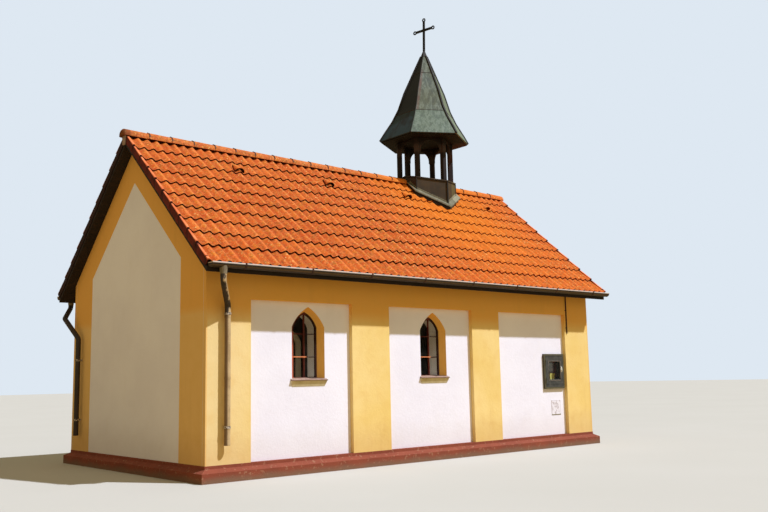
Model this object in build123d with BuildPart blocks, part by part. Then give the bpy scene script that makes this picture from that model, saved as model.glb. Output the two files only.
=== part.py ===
"""Small village chapel: plastered walls, tiled gable roof and a hexagonal ridge turret.

Millimetres, +Z up, ground at z = 0. X runs along the ridge, Y across the building, and
the origin is on the ground below the middle of the walls. The long side with the notice
case faces -Y, the blind gable faces -X and the entrance gable faces +X.
"""
from math import atan, cos, degrees, radians, sin
import os

from build123d import *

os.makedirs("parts", exist_ok=True)

# Driving dimensions
# walls
wall_length = 8000.0
wall_width = 4400.0
wall_thickness = 400.0
plinth_height = 210.0
plinth_band_height = 40.0
plinth_band_projection = 5.0
plinth_projection = 90.0
plinth_ledge_fall = 45.0
floor_level = 150.0
panel_recess = 70.0
panel_top = 2335.0
gable_recess = 4.0
gable_border = 702.0
gable_field_drop = 560.0

# pilasters and the panels between them, from the blind gable on
corner_pilaster = 670.0
panel_a = 1710.0
pier_ab = 715.0
panel_b = 1795.0
pier_bc = 655.0
panel_c = 1775.0

# windows: the reveal narrows from the panel to the frame, then runs straight through
window_width = 560.0
window_sill_z = 1270.0
window_spring_z = 1990.0
window_rise = 285.0
arch_bulge = 32.0
window_a_offset = 980.0
window_b_offset = 975.0
window_splay = 65.0
frame_setback = 100.0
frame_depth = 30.0
frame_face = 26.0
apex_inset_ratio = 1.35
glass_thickness = 5.0
seat_gap = 0.3
sill_block_height = 78.0
sill_block_projection = 34.0
sill_block_foot = 6.0
sill_block_overlap = 24.0
sill_block_taper = 30.0
sill_sheet = 6.0
sill_fall = 22.0
sill_rise = 18.0
sill_nosing = 14.0

# doorway in the entrance gable
door_width = 1000.0
door_spring_z = 1850.0
door_rise = 420.0
door_bulge = 50.0
door_apex_inset_ratio = 1.25
door_setback = 160.0
door_leaf_thickness = 50.0
door_leaf_setback = 10.0
door_frame_face = 70.0
step_width = 1500.0
step_depth = 250.0
step_round = 12.0

# roof
roof_rise_per_run = 0.875
crest_apex_z = 4999.0
wave_height = 40.0
tile_bed = 60.0
tile_body = 15.0
deck_bed = 58.0
verge_overhang = 175.0
eaves_overhang = 338.0
fascia_setback = 40.0
fascia_thickness = 22.0
fascia_drop = 6.0
verge_thickness = 15.0
verge_skirt = 140.0
verge_roll = 14.0
ridge_radius = 115.0
ridge_wall = 15.0
ridge_leg = 75.0
ridge_rise = 66.0
ridge_end = 75.0

# rainwater goods
gutter_radius = 65.0
gutter_wall = 4.0
gutter_drop = 40.0
gutter_end_gap = 12.0
bracket_width = 25.0
bracket_strap = 5.0
bracket_count = 8
bracket_end_inset = 335.0
pipe_radius = 40.0
pipe_standoff = 75.0
pipe_bend = 70.0
pipe_bottom = 450.0
outlet_radius = 57.0
outlet_height = 75.0
outlet_wall = 4.0
front_outlet_inset = 38.0
front_pipe_inset = 273.0
front_neck_drop = 170.0
front_elbow_drop = 433.0
back_outlet_inset = 65.0
back_neck_drop = 120.0
back_corner_drop = 330.0
back_corner_out_x = 60.0
back_corner_out_y = 90.0
back_elbow_drop = 680.0
gable_pipe_inset = 370.0
clip_strap = 4.0
clip_width = 30.0
clip_arm = 16.0
front_clip_high_z = 2125.0
front_clip_low_z = 680.0
back_clip_high_z = 1645.0
back_clip_low_z = 700.0

# thin conduit on the pilaster beside the entrance gable
conduit_offset = 54.0
conduit_radius = 11.0
conduit_bottom_z = 1999.0

# turret
turret_x = 2027.0
drum_radius = 600.0
deck_rise = 116.0
deck_fall = 0.22
deck_sheet = 20.0
deck_lip = 16.0
apron_reach = 95.0
apron_lift = 44.0
apron_sheet = 22.0
bearer_reach = 55.0
apron_upstand = 98.0
apron_upstand_sheet = 6.0
post_inset = 81.0
post_size = 66.0
lantern_height = 703.0
soffit_board = 18.0
soffit_radius = 870.0
arch_board = 26.0
arch_depth = 278.0
arch_centre_drop = 228.0
arch_side_margin = 36.5

# spire: corner radius against height above its foot; the tip stands off the centre
spire_eave_radius = 890.0
spire_eave_edge = 14.0
spire_mid_radius = 805.0
spire_mid_height = 157.0
spire_low_radius = 645.0
spire_low_height = 405.0
spire_break_radius = 522.0
spire_break_height = 655.0
spire_waist_radius = 405.0
spire_waist_height = 1005.0
spire_tip_radius = 62.0
spire_height = 1794.0
spire_tip_offset = 53.0
cap_radius = 70.0
cap_top_radius = 18.0
cap_height = 138.0

# cross on the spire
cross_height = 652.0
cross_arm = 225.0
cross_arm_height = 433.0
cross_bar = 24.0
cross_bar_thickness = 14.0
cross_ring = 34.0
cross_ring_bar = 14.0
cross_turn = 10.0

# notice case, sunk in a niche of the long wall
case_margin = 35.0
case_width = 545.0
case_height = 614.0
case_bottom_z = 1014.0
case_projection = 40.0
niche_depth = 120.0
case_sheet = 12.0
case_border_side = 27.0
case_border_top = 37.0
case_border_bottom = 75.0
case_gap = 5.0
case_leaf = 18.0
case_stile_hinge = 81.0
case_stile_knob = 70.0
case_rail_top = 86.0
case_rail_bottom = 67.0
case_glass = 4.0
hinge_barrel = 7.0
hinge_pin = 3.0
hinge_bore = 3.15
hinge_offset = 9.0
hinge_strap = 17.5
knuckle_length = 40.0
knuckle_clearance = 1.0
knuckle_inset = 85.0
knob_radius = 11.0
knob_length = 16.0
knob_round = 4.0
knob_inset = 35.0
plate_width = 250.0
plate_height = 260.0
plate_thickness = 4.0
plate_offset = 260.0
plate_z = 680.0

# Derived sizes
half_length = wall_length / 2
half_width = wall_width / 2
slope = degrees(atan(roof_rise_per_run))
cos_slope = cos(radians(slope))
tile_top_apex = crest_apex_z - wave_height
tile_under_apex = tile_top_apex - tile_bed / cos_slope
tile_edge_apex = tile_top_apex - tile_body / cos_slope
deck_under_apex = tile_under_apex - deck_bed / cos_slope
roof_half_length = half_length + verge_overhang
tile_half_length = roof_half_length - verge_thickness
eave_y = half_width + eaves_overhang
fascia_y = eave_y - fascia_setback
deck_edge_y = fascia_y - fascia_thickness
inner_x = half_length - wall_thickness
inner_y = half_width - wall_thickness
panel_face_y = -half_width + panel_recess
ridge_half_length = roof_half_length + ridge_end
front_outlet_x = -half_length + front_outlet_inset
front_pipe_x = -half_length + front_pipe_inset
back_outlet_x = -half_length + back_outlet_inset
gable_pipe_y = half_width - gable_pipe_inset
bracket_end_x = half_length - bracket_end_inset


def roof_z(apex, y):
    """Height of a roof plane with this apex at a distance y from the ridge."""
    return apex - roof_rise_per_run * abs(y)


def hexagon_points(radius, turn=30.0):
    """Corners of a hexagon whose faces are square to X."""
    return [
        (radius * cos(radians(turn + 60 * k)), radius * sin(radians(turn + 60 * k)))
        for k in range(6)
    ]


def pointed_outline(middle, half, foot, spring, apex, bulge):
    """Draw a pointed-arch opening in the line that is being built."""
    Polyline((middle - half, spring), (middle - half, foot), (middle + half, foot),
             (middle + half, spring))
    SagittaArc((middle + half, spring), (middle, apex), -bulge)
    SagittaArc((middle, apex), (middle - half, spring), -bulge)


# Plinth, floor and step
# a painted band under the plaster, a sloped ledge below it and an upright foot
outer_x = half_length + plinth_projection
outer_y = half_width + plinth_projection
band_foot_z = plinth_height - plinth_band_height
ledge_z = band_foot_z - plinth_ledge_fall
band_x = half_length + plinth_band_projection
band_y = half_width + plinth_band_projection

with BuildPart() as plinth:
    with BuildSketch():
        Rectangle(2 * outer_x, 2 * outer_y)
    extrude(amount=ledge_z)
    with BuildSketch(Plane.XY.offset(ledge_z)):
        Rectangle(2 * outer_x, 2 * outer_y)
    with BuildSketch(Plane.XY.offset(band_foot_z)):
        Rectangle(2 * band_x, 2 * band_y)
    loft(ruled=True)
    with BuildSketch(Plane.XY.offset(band_foot_z)):
        Rectangle(2 * band_x, 2 * band_y)
    extrude(amount=plinth_band_height)
    with BuildSketch():
        Rectangle(2 * inner_x, 2 * inner_y)
    extrude(amount=plinth_height, mode=Mode.SUBTRACT)
    with BuildSketch(Plane.XY.offset(floor_level)):
        with Locations((half_length, 0)):
            Rectangle(2 * (wall_thickness + plinth_projection), door_width)
    extrude(amount=plinth_height, mode=Mode.SUBTRACT)
plinth.part.label = "plinth"
export_step(plinth.part, "parts/plinth.step")

with BuildPart() as floor:
    with BuildSketch():
        Rectangle(2 * inner_x, 2 * inner_y)
    extrude(amount=floor_level)
floor.part.label = "floor"
export_step(floor.part, "parts/floor.step")

with BuildPart() as doorstep:
    with BuildSketch():
        with Locations((half_length, 0)):
            Rectangle(
                plinth_projection + step_depth, step_width, align=(Align.MIN, Align.CENTER)
            )
    extrude(amount=floor_level)
    fillet(doorstep.faces().sort_by(Axis.Z)[-1].edges().sort_by(Axis.X)[-1:], step_round)
    add(plinth.part, mode=Mode.SUBTRACT)
doorstep.part.label = "doorstep"
export_step(doorstep.part, "parts/doorstep.step")

# Long walls
panel_edges = []
edge = -half_length
for pilaster, panel in (
    (corner_pilaster, panel_a),
    (pier_ab, panel_b),
    (pier_bc, panel_c),
):
    panel_edges.append((edge + pilaster, edge + pilaster + panel))
    edge = edge + pilaster + panel
window_a_x = panel_edges[0][0] + window_a_offset
window_b_x = panel_edges[1][0] + window_b_offset
window_xs = (window_a_x, window_b_x)
window_half = window_width / 2
window_apex_z = window_spring_z + window_rise
inner_half = window_half - window_splay
inner_apex_z = window_apex_z - window_splay
frame_front = panel_face_y + frame_setback

with BuildPart() as wall_blank:
    with BuildSketch(Plane.YZ):
        with BuildLine():
            Polyline(
                (-half_width, plinth_height), (-inner_y, plinth_height),
                (-inner_y, roof_z(deck_under_apex, inner_y)),
                (-half_width, roof_z(deck_under_apex, half_width)),
                close=True,
            )
        make_face()
    extrude(amount=half_length, both=True)
    with BuildSketch(Plane.XZ.offset(half_width)):
        for start, end in panel_edges:
            with Locations(((start + end) / 2, (plinth_height + panel_top) / 2)):
                Rectangle(end - start, panel_top - plinth_height)
    extrude(amount=-panel_recess, mode=Mode.SUBTRACT)
    for x in window_xs:
        with BuildSketch(Plane.XZ.offset(-panel_face_y)):
            with BuildLine():
                pointed_outline(
                    x, window_half, window_sill_z, window_spring_z, window_apex_z, arch_bulge
                )
            make_face()
        with BuildSketch(Plane.XZ.offset(-frame_front)):
            with BuildLine():
                pointed_outline(
                    x, inner_half, window_sill_z, window_spring_z, inner_apex_z, arch_bulge
                )
            make_face()
        loft(mode=Mode.SUBTRACT)
        with BuildSketch(Plane.XZ.offset(-frame_front)):
            with BuildLine():
                pointed_outline(
                    x, inner_half, window_sill_z, window_spring_z, inner_apex_z, arch_bulge
                )
            make_face()
        extrude(amount=-wall_thickness, mode=Mode.SUBTRACT)

case_right_x = panel_edges[2][1] - case_margin
case_left_x = case_right_x - case_width
case_top_z = case_bottom_z + case_height
case_mid_x = (case_left_x + case_right_x) / 2
case_mid_z = (case_bottom_z + case_top_z) / 2
with BuildPart() as front_wall:
    add(wall_blank.part)
    with BuildSketch(Plane.XZ.offset(-panel_face_y)):
        with Locations((case_mid_x, case_mid_z)):
            Rectangle(case_width + 2 * seat_gap, case_height + 2 * seat_gap)
    extrude(amount=-niche_depth, mode=Mode.SUBTRACT)
front_wall.part.label = "front_wall"
export_step(front_wall.part, "parts/front_wall.step")

with BuildPart() as back_wall:
    add(wall_blank.part.mirror(Plane.XZ))
back_wall.part.label = "back_wall"
export_step(back_wall.part, "parts/back_wall.step")

# Gable walls
gable_profile = [
    (-inner_y, plinth_height),
    (inner_y, plinth_height),
    (inner_y, roof_z(deck_under_apex, inner_y)),
    (0, deck_under_apex),
    (-inner_y, roof_z(deck_under_apex, inner_y)),
]
field_half = half_width - gable_border
field_apex = deck_under_apex - gable_field_drop
field_profile = [
    (-field_half, plinth_height),
    (field_half, plinth_height),
    (field_half, roof_z(field_apex, field_half)),
    (0, field_apex),
    (-field_half, roof_z(field_apex, field_half)),
]

with BuildPart() as left_gable_wall:
    with BuildSketch(Plane.YZ.offset(-half_length)):
        with BuildLine():
            Polyline(*gable_profile, close=True)
        make_face()
    extrude(amount=wall_thickness)
    with BuildSketch(Plane.YZ.offset(-half_length)):
        with BuildLine():
            Polyline(*field_profile, close=True)
        make_face()
    extrude(amount=gable_recess, mode=Mode.SUBTRACT)
left_gable_wall.part.label = "left_gable_wall"
export_step(left_gable_wall.part, "parts/left_gable_wall.step")

with BuildPart() as right_gable_wall:
    with BuildSketch(Plane.YZ.offset(inner_x)):
        with BuildLine():
            Polyline(*gable_profile, close=True)
        make_face()
    extrude(amount=wall_thickness)
    with BuildSketch(Plane.YZ.offset(half_length)):
        with BuildLine():
            Polyline(*field_profile, close=True)
        make_face()
    extrude(amount=-gable_recess, mode=Mode.SUBTRACT)
    with BuildSketch(Plane.YZ.offset(half_length)):
        with BuildLine():
            pointed_outline(
                0, door_width / 2, floor_level, door_spring_z, door_spring_z + door_rise,
                door_bulge,
            )
        make_face()
    extrude(amount=-wall_thickness, mode=Mode.SUBTRACT)
right_gable_wall.part.label = "right_gable_wall"
export_step(right_gable_wall.part, "parts/right_gable_wall.step")

# Windows
with BuildPart() as front_window_frames:
    with BuildSketch(Plane.XZ.offset(-frame_front)):
        for x in window_xs:
            for inset, mode in ((seat_gap, Mode.ADD), (frame_face, Mode.SUBTRACT)):
                with BuildLine():
                    pointed_outline(
                        x, inner_half - inset, window_sill_z + inset, window_spring_z,
                        inner_apex_z - inset * apex_inset_ratio, arch_bulge,
                    )
                make_face(mode=mode)
    extrude(amount=-frame_depth)
front_window_frames.part.label = "front_window_frames"
export_step(front_window_frames.part, "parts/front_window_frames.step")

with BuildPart() as back_window_frames:
    add(front_window_frames.part.mirror(Plane.XZ))
back_window_frames.part.label = "back_window_frames"
export_step(back_window_frames.part, "parts/back_window_frames.step")

with BuildPart() as front_window_glass:
    with BuildSketch(Plane.XZ.offset(-frame_front - frame_depth)):
        for x in window_xs:
            inset = frame_face / 2
            with BuildLine():
                pointed_outline(
                    x, inner_half - inset, window_sill_z + inset, window_spring_z,
                    inner_apex_z - inset * apex_inset_ratio, arch_bulge,
                )
            make_face()
    extrude(amount=-glass_thickness)
front_window_glass.part.label = "front_window_glass"
export_step(front_window_glass.part, "parts/front_window_glass.step")

with BuildPart() as back_window_glass:
    add(front_window_glass.part.mirror(Plane.XZ))
back_window_glass.part.label = "back_window_glass"
export_step(back_window_glass.part, "parts/back_window_glass.step")

# plaster sill blocks: proud of the panels at the top, nearly flush at the foot
block_top_z = window_sill_z - sill_fall
block_foot_z = block_top_z - sill_block_height
block_half = window_half + sill_block_overlap
block_foot_half = block_half - sill_block_taper

with BuildPart() as sill_blocks:
    for x in window_xs:
        with BuildSketch(Plane.XY.offset(block_foot_z)):
            with Locations((x, panel_face_y)):
                Rectangle(2 * block_foot_half, sill_block_foot, align=(Align.CENTER, Align.MAX))
        with BuildSketch(Plane.XY.offset(block_top_z)):
            with Locations((x, panel_face_y)):
                Rectangle(2 * block_half, sill_block_projection, align=(Align.CENTER, Align.MAX))
        loft(ruled=True)
    mirror(about=Plane.XZ)
sill_blocks.part.label = "sill_blocks"
export_step(sill_blocks.part, "parts/sill_blocks.step")

# sheet sills from the frame down and out over the blocks
sheet_front_y = panel_face_y - sill_block_projection - sill_nosing
with BuildPart() as sill_blank:
    with BuildSketch(Plane.YZ):
        with BuildLine():
            Polyline(
                (panel_face_y, window_sill_z), (panel_face_y, window_sill_z + sill_sheet),
                (frame_front, window_sill_z + sill_rise), (frame_front, window_sill_z),
                close=True,
            )
        make_face()
    extrude(amount=window_half, both=True)
    with BuildSketch(Plane.XY.offset(window_sill_z)):
        with BuildLine():
            Polyline(
                (-window_half + seat_gap, panel_face_y), (window_half - seat_gap, panel_face_y),
                (inner_half - seat_gap, frame_front), (-inner_half + seat_gap, frame_front),
                close=True,
            )
        make_face()
    extrude(amount=window_rise, mode=Mode.INTERSECT)
    with BuildSketch(Plane.YZ):
        with BuildLine():
            Polyline(
                (panel_face_y, block_top_z), (sheet_front_y, block_top_z),
                (sheet_front_y, block_top_z + sill_sheet),
                (panel_face_y, window_sill_z + sill_sheet),
                close=True,
            )
        make_face()
    extrude(amount=block_half, both=True)
with BuildPart() as sill_flashings:
    with Locations((window_a_x, 0, 0), (window_b_x, 0, 0)):
        add(sill_blank.part)
    mirror(about=Plane.XZ)
sill_flashings.part.label = "sill_flashings"
export_step(sill_flashings.part, "parts/sill_flashings.step")

# Entrance door
door_apex_z = door_spring_z + door_rise
with BuildPart() as door_frame:
    with BuildSketch(Plane.YZ.offset(half_length - door_setback)):
        for inset, mode in ((seat_gap, Mode.ADD), (door_frame_face, Mode.SUBTRACT)):
            with BuildLine():
                pointed_outline(
                    0, door_width / 2 - inset, floor_level, door_spring_z,
                    door_apex_z - inset * door_apex_inset_ratio, door_bulge,
                )
            make_face(mode=mode)
    extrude(amount=-door_frame_face)
door_frame.part.label = "door_frame"
export_step(door_frame.part, "parts/door_frame.step")

with BuildPart() as door_leaf:
    with BuildSketch(Plane.YZ.offset(half_length - door_setback - door_leaf_setback)):
        with BuildLine():
            inset = door_frame_face + seat_gap
            pointed_outline(
                0, door_width / 2 - inset, floor_level, door_spring_z,
                door_apex_z - inset * door_apex_inset_ratio, door_bulge,
            )
        make_face()
    extrude(amount=-door_leaf_thickness)
door_leaf.part.label = "door_leaf"
export_step(door_leaf.part, "parts/door_leaf.step")

# Roof planes
for side, name in ((-1, "front"), (1, "back")):
    with BuildPart() as roof_deck:
        with BuildSketch(Plane.YZ):
            with BuildLine():
                Polyline(
                    (0, deck_under_apex), (0, tile_under_apex),
                    (side * deck_edge_y, roof_z(tile_under_apex, deck_edge_y)),
                    (side * deck_edge_y, roof_z(deck_under_apex, deck_edge_y)),
                    close=True,
                )
            make_face()
        extrude(amount=tile_half_length, both=True)
    roof_deck.part.label = f"roof_deck_{name}"
    export_step(roof_deck.part, f"parts/roof_deck_{name}.step")

    with BuildPart() as roof_tiles:
        with BuildSketch(Plane.YZ):
            with BuildLine():
                Polyline(
                    (0, tile_under_apex), (0, tile_top_apex),
                    (side * eave_y, roof_z(tile_top_apex, eave_y)),
                    (side * eave_y, roof_z(tile_edge_apex, eave_y)),
                    (side * fascia_y, roof_z(tile_edge_apex, fascia_y)),
                    (side * fascia_y, roof_z(tile_under_apex, fascia_y)),
                    close=True,
                )
            make_face()
        extrude(amount=tile_half_length, both=True)
    roof_tiles.part.label = f"roof_tiles_{name}"
    export_step(roof_tiles.part, f"parts/roof_tiles_{name}.step")

with BuildPart() as fascias:
    with BuildSketch(Plane.YZ):
        with BuildLine():
            Polyline(
                (-deck_edge_y, roof_z(deck_under_apex, deck_edge_y) - fascia_drop),
                (-fascia_y, roof_z(deck_under_apex, deck_edge_y) - fascia_drop),
                (-fascia_y, roof_z(tile_under_apex, fascia_y)),
                (-deck_edge_y, roof_z(tile_under_apex, deck_edge_y)),
                close=True,
            )
        make_face()
    extrude(amount=tile_half_length, both=True)
    mirror(about=Plane.XZ)
fascias.part.label = "fascias"
export_step(fascias.part, "parts/fascias.step")

# verge tiles: a skirt that hangs beside the roof edge and a roll over it
for side, name in ((-1, "left"), (1, "right")):
    with BuildPart() as verge_tiles:
        with BuildSketch(Plane.YZ.offset(side * tile_half_length)):
            with BuildLine():
                top = crest_apex_z + verge_roll
                low = crest_apex_z - verge_skirt
                Polyline(
                    (0, top), (eave_y, roof_z(top, eave_y)), (eave_y, roof_z(low, eave_y)),
                    (0, low), (-eave_y, roof_z(low, eave_y)), (-eave_y, roof_z(top, eave_y)),
                    close=True,
                )
            make_face()
        extrude(amount=side * verge_thickness)
    verge_tiles.part.label = f"verge_tiles_{name}"
    export_step(verge_tiles.part, f"parts/verge_tiles_{name}.step")

# ridge caps: hoods that sit astride the tiles, stopped at the turret
ridge_top_z = crest_apex_z + ridge_rise
ridge_axis_z = ridge_top_z - ridge_radius
drum_apothem = drum_radius * cos(radians(30))
with BuildPart() as ridge_tiles:
    for start, end in (
        (-ridge_half_length, turret_x - drum_apothem),
        (turret_x + drum_apothem, ridge_half_length),
    ):
        with BuildSketch(Plane.YZ.offset(start)):
            with Locations((0, ridge_axis_z)):
                Circle(ridge_radius)
            with Locations((0, ridge_axis_z - ridge_leg / 2)):
                Rectangle(2 * ridge_radius, ridge_leg)
            with Locations((0, ridge_axis_z - ridge_radius)):
                Rectangle(
                    2 * ridge_radius, 2 * (ridge_radius - ridge_leg), mode=Mode.SUBTRACT
                )
            with Locations((0, ridge_axis_z)):
                Circle(ridge_radius - ridge_wall, mode=Mode.SUBTRACT)
            with Locations((0, ridge_axis_z - ridge_leg / 2)):
                Rectangle(2 * (ridge_radius - ridge_wall), ridge_leg, mode=Mode.SUBTRACT)
        extrude(amount=end - start)
    for start, end, top in (
        (-roof_half_length, -tile_half_length, crest_apex_z + verge_roll),
        (-tile_half_length, tile_half_length, tile_top_apex),
        (tile_half_length, roof_half_length, crest_apex_z + verge_roll),
    ):
        with BuildSketch(Plane.YZ.offset(start)):
            with BuildLine():
                Polyline(
                    (0, top), (eave_y, roof_z(top, eave_y)), (-eave_y, roof_z(top, eave_y)),
                    close=True,
                )
            make_face()
        extrude(amount=end - start, mode=Mode.SUBTRACT)
ridge_tiles.part.label = "ridge_tiles"
export_step(ridge_tiles.part, "parts/ridge_tiles.step")

# Gutters
gutter_y = fascia_y + bracket_strap + gutter_radius
gutter_half_length = tile_half_length - gutter_end_gap
gutter_z = roof_z(crest_apex_z, eave_y) - gutter_drop
gutter_floor_z = gutter_z - gutter_radius

for side, outlet_x, name in ((-1, front_outlet_x, "front"), (1, back_outlet_x, "back")):
    with BuildPart() as gutter:
        with BuildSketch(Plane.YZ.offset(-gutter_half_length)):
            with Locations((side * gutter_y, gutter_z)):
                Circle(gutter_radius)
                Rectangle(2 * gutter_radius, gutter_radius, align=(Align.CENTER, Align.MIN),
                          mode=Mode.SUBTRACT)
        extrude(amount=2 * gutter_half_length)
        with BuildSketch(Plane.YZ.offset(-gutter_half_length + gutter_wall)):
            with Locations((side * gutter_y, gutter_z)):
                Circle(gutter_radius - gutter_wall)
        extrude(amount=2 * gutter_half_length - 2 * gutter_wall, mode=Mode.SUBTRACT)
        with Locations((outlet_x, side * gutter_y, gutter_floor_z)):
            Cylinder(pipe_radius - gutter_wall, gutter_radius, mode=Mode.SUBTRACT)
        with BuildSketch(Plane.YZ):
            with BuildLine():
                low = tile_edge_apex - gutter_wall
                edge_y = eave_y + gutter_wall
                Polyline(
                    (side * fascia_y, roof_z(low, fascia_y)),
                    (side * edge_y, roof_z(low, edge_y)),
                    (side * edge_y, gutter_z + gutter_radius),
                    (side * fascia_y, gutter_z + gutter_radius),
                    close=True,
                )
            make_face()
        extrude(amount=roof_half_length, both=True, mode=Mode.SUBTRACT)
    gutter.part.label = f"{name}_gutter"
    export_step(gutter.part, f"parts/{name}_gutter.step")

bracket_pitch = 2 * bracket_end_x / (bracket_count - 1)
with BuildPart() as bracket_blank:
    with BuildSketch(Plane.YZ.offset(-bracket_width / 2)):
        with Locations((-gutter_y, gutter_z)):
            Circle(gutter_radius + bracket_strap)
            Circle(gutter_radius, mode=Mode.SUBTRACT)
            Rectangle(4 * gutter_radius, 2 * gutter_radius, align=(Align.CENTER, Align.MIN),
                      mode=Mode.SUBTRACT)
    extrude(amount=bracket_width)
with BuildPart() as gutter_brackets:
    with Locations([
        (bracket_pitch * (k - (bracket_count - 1) / 2), 0, 0) for k in range(bracket_count)
    ]):
        add(bracket_blank.part)
    mirror(about=Plane.XZ)
gutter_brackets.part.label = "gutter_brackets"
export_step(gutter_brackets.part, "parts/gutter_brackets.step")

# funnels under the outlets, saddled to the gutters and sleeved over the pipes
with BuildPart() as gutter_outlets:
    for side, outlet_x in ((-1, front_outlet_x), (1, back_outlet_x)):
        with BuildSketch(Plane.XY.offset(gutter_floor_z - outlet_height)):
            with Locations((outlet_x, side * gutter_y)):
                Circle(pipe_radius + outlet_wall)
        with BuildSketch(Plane.XY.offset(gutter_z)):
            with Locations((outlet_x, side * gutter_y)):
                Circle(outlet_radius)
        loft(ruled=True)
        with Locations((outlet_x, side * gutter_y, gutter_z)):
            Cylinder(pipe_radius, outlet_height + gutter_radius,
                     align=(Align.CENTER, Align.CENTER, Align.MAX), mode=Mode.SUBTRACT)
    for side in (-1, 1):
        with BuildSketch(Plane.YZ.offset(-gutter_half_length)):
            with Locations((side * gutter_y, gutter_z)):
                Circle(gutter_radius)
        extrude(amount=2 * gutter_half_length, mode=Mode.SUBTRACT)
gutter_outlets.part.label = "gutter_outlets"
export_step(gutter_outlets.part, "parts/gutter_outlets.step")

# Downpipes
front_pipe_y = -half_width - pipe_standoff
gable_pipe_x = -half_length - pipe_standoff
with BuildPart() as front_downpipe:
    with BuildLine() as route:
        FilletPolyline(
            (front_outlet_x, -gutter_y, gutter_floor_z),
            (front_outlet_x, -gutter_y, gutter_floor_z - front_neck_drop),
            (front_pipe_x, front_pipe_y, gutter_floor_z - front_elbow_drop),
            (front_pipe_x, front_pipe_y, pipe_bottom),
            radius=pipe_bend,
        )
    with BuildSketch(Plane(origin=route.line @ 0, z_dir=route.line % 0)):
        Circle(pipe_radius)
    sweep(path=route.line)
front_downpipe.part.label = "front_downpipe"
export_step(front_downpipe.part, "parts/front_downpipe.step")

with BuildPart() as back_downpipe:
    with BuildLine() as route:
        FilletPolyline(
            (back_outlet_x, gutter_y, gutter_floor_z),
            (back_outlet_x, gutter_y, gutter_floor_z - back_neck_drop),
            (gable_pipe_x - back_corner_out_x, half_width + back_corner_out_y,
             gutter_floor_z - back_corner_drop),
            (gable_pipe_x, gable_pipe_y, gutter_floor_z - back_elbow_drop),
            (gable_pipe_x, gable_pipe_y, pipe_bottom),
            radius=pipe_bend,
        )
    with BuildSketch(Plane(origin=route.line @ 0, z_dir=route.line % 0)):
        Circle(pipe_radius)
    sweep(path=route.line)
back_downpipe.part.label = "back_downpipe"
export_step(back_downpipe.part, "parts/back_downpipe.step")

# clips: a ring round the pipe and an arm back to the wall
with BuildPart() as pipe_clips:
    for z in (front_clip_high_z, front_clip_low_z):
        with Locations((front_pipe_x, -half_width, z)):
            Box(clip_arm, pipe_standoff, clip_width,
                align=(Align.CENTER, Align.MAX, Align.CENTER))
    for z in (back_clip_high_z, back_clip_low_z):
        with Locations((-half_length, gable_pipe_y, z)):
            Box(pipe_standoff, clip_arm, clip_width,
                align=(Align.MAX, Align.CENTER, Align.CENTER))
    for spots, mode in (
        (pipe_radius + clip_strap, Mode.ADD),
        (pipe_radius, Mode.SUBTRACT),
    ):
        with Locations(
            (front_pipe_x, front_pipe_y, front_clip_high_z),
            (front_pipe_x, front_pipe_y, front_clip_low_z),
            (gable_pipe_x, gable_pipe_y, back_clip_high_z),
            (gable_pipe_x, gable_pipe_y, back_clip_low_z),
        ):
            Cylinder(spots, clip_width, mode=mode)
pipe_clips.part.label = "pipe_clips"
export_step(pipe_clips.part, "parts/pipe_clips.step")

with BuildPart() as wall_conduit:
    with BuildSketch(Plane.XY.offset(conduit_bottom_z)):
        with Locations((panel_edges[2][1] + conduit_offset, -half_width - conduit_radius)):
            Circle(conduit_radius)
    extrude(amount=roof_z(deck_under_apex, half_width + 2 * conduit_radius) - conduit_bottom_z)
wall_conduit.part.label = "wall_conduit"
export_step(wall_conduit.part, "parts/wall_conduit.step")

# Turret
deck_apex_z = crest_apex_z + deck_rise
drum_top_apex = deck_apex_z - deck_sheet
turret_reach = drum_radius + apron_reach + deck_lip
turret_foot_z = roof_z(tile_top_apex, turret_reach)
post_ring = drum_radius - post_inset
soffit_z = deck_apex_z + lantern_height


def deck_plane_z(apex, y):
    """Height of the turret deck, which falls gently to both sides of the ridge."""
    return apex - deck_fall * abs(y)


with BuildPart() as turret_drum:
    with BuildSketch(Plane.XY.offset(turret_foot_z)):
        with Locations((turret_x, 0)):
            Polygon(*hexagon_points(drum_radius), align=None)
    extrude(amount=deck_apex_z - turret_foot_z)
    with BuildSketch(Plane.YZ.offset(turret_x)):
        with BuildLine():
            Polyline(
                (0, tile_top_apex), (turret_reach, turret_foot_z),
                (turret_reach, deck_plane_z(drum_top_apex, turret_reach)), (0, drum_top_apex),
                (-turret_reach, deck_plane_z(drum_top_apex, turret_reach)),
                (-turret_reach, turret_foot_z),
                close=True,
            )
        make_face()
    extrude(amount=turret_reach, both=True, mode=Mode.INTERSECT)
turret_drum.part.label = "turret_drum"
export_step(turret_drum.part, "parts/turret_drum.step")

with BuildPart() as turret_deck:
    with BuildSketch(Plane.XY.offset(turret_foot_z)):
        with Locations((turret_x, 0)):
            Polygon(*hexagon_points(drum_radius + deck_lip), align=None)
    extrude(amount=soffit_z - turret_foot_z)
    with BuildSketch(Plane.YZ.offset(turret_x)):
        with BuildLine():
            Polyline(
                (0, drum_top_apex), (turret_reach, deck_plane_z(drum_top_apex, turret_reach)),
                (turret_reach, deck_plane_z(deck_apex_z, turret_reach)), (0, deck_apex_z),
                (-turret_reach, deck_plane_z(deck_apex_z, turret_reach)),
                (-turret_reach, deck_plane_z(drum_top_apex, turret_reach)),
                close=True,
            )
        make_face()
    extrude(amount=turret_reach, both=True, mode=Mode.INTERSECT)
turret_deck.part.label = "turret_deck"
export_step(turret_deck.part, "parts/turret_deck.step")

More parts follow.
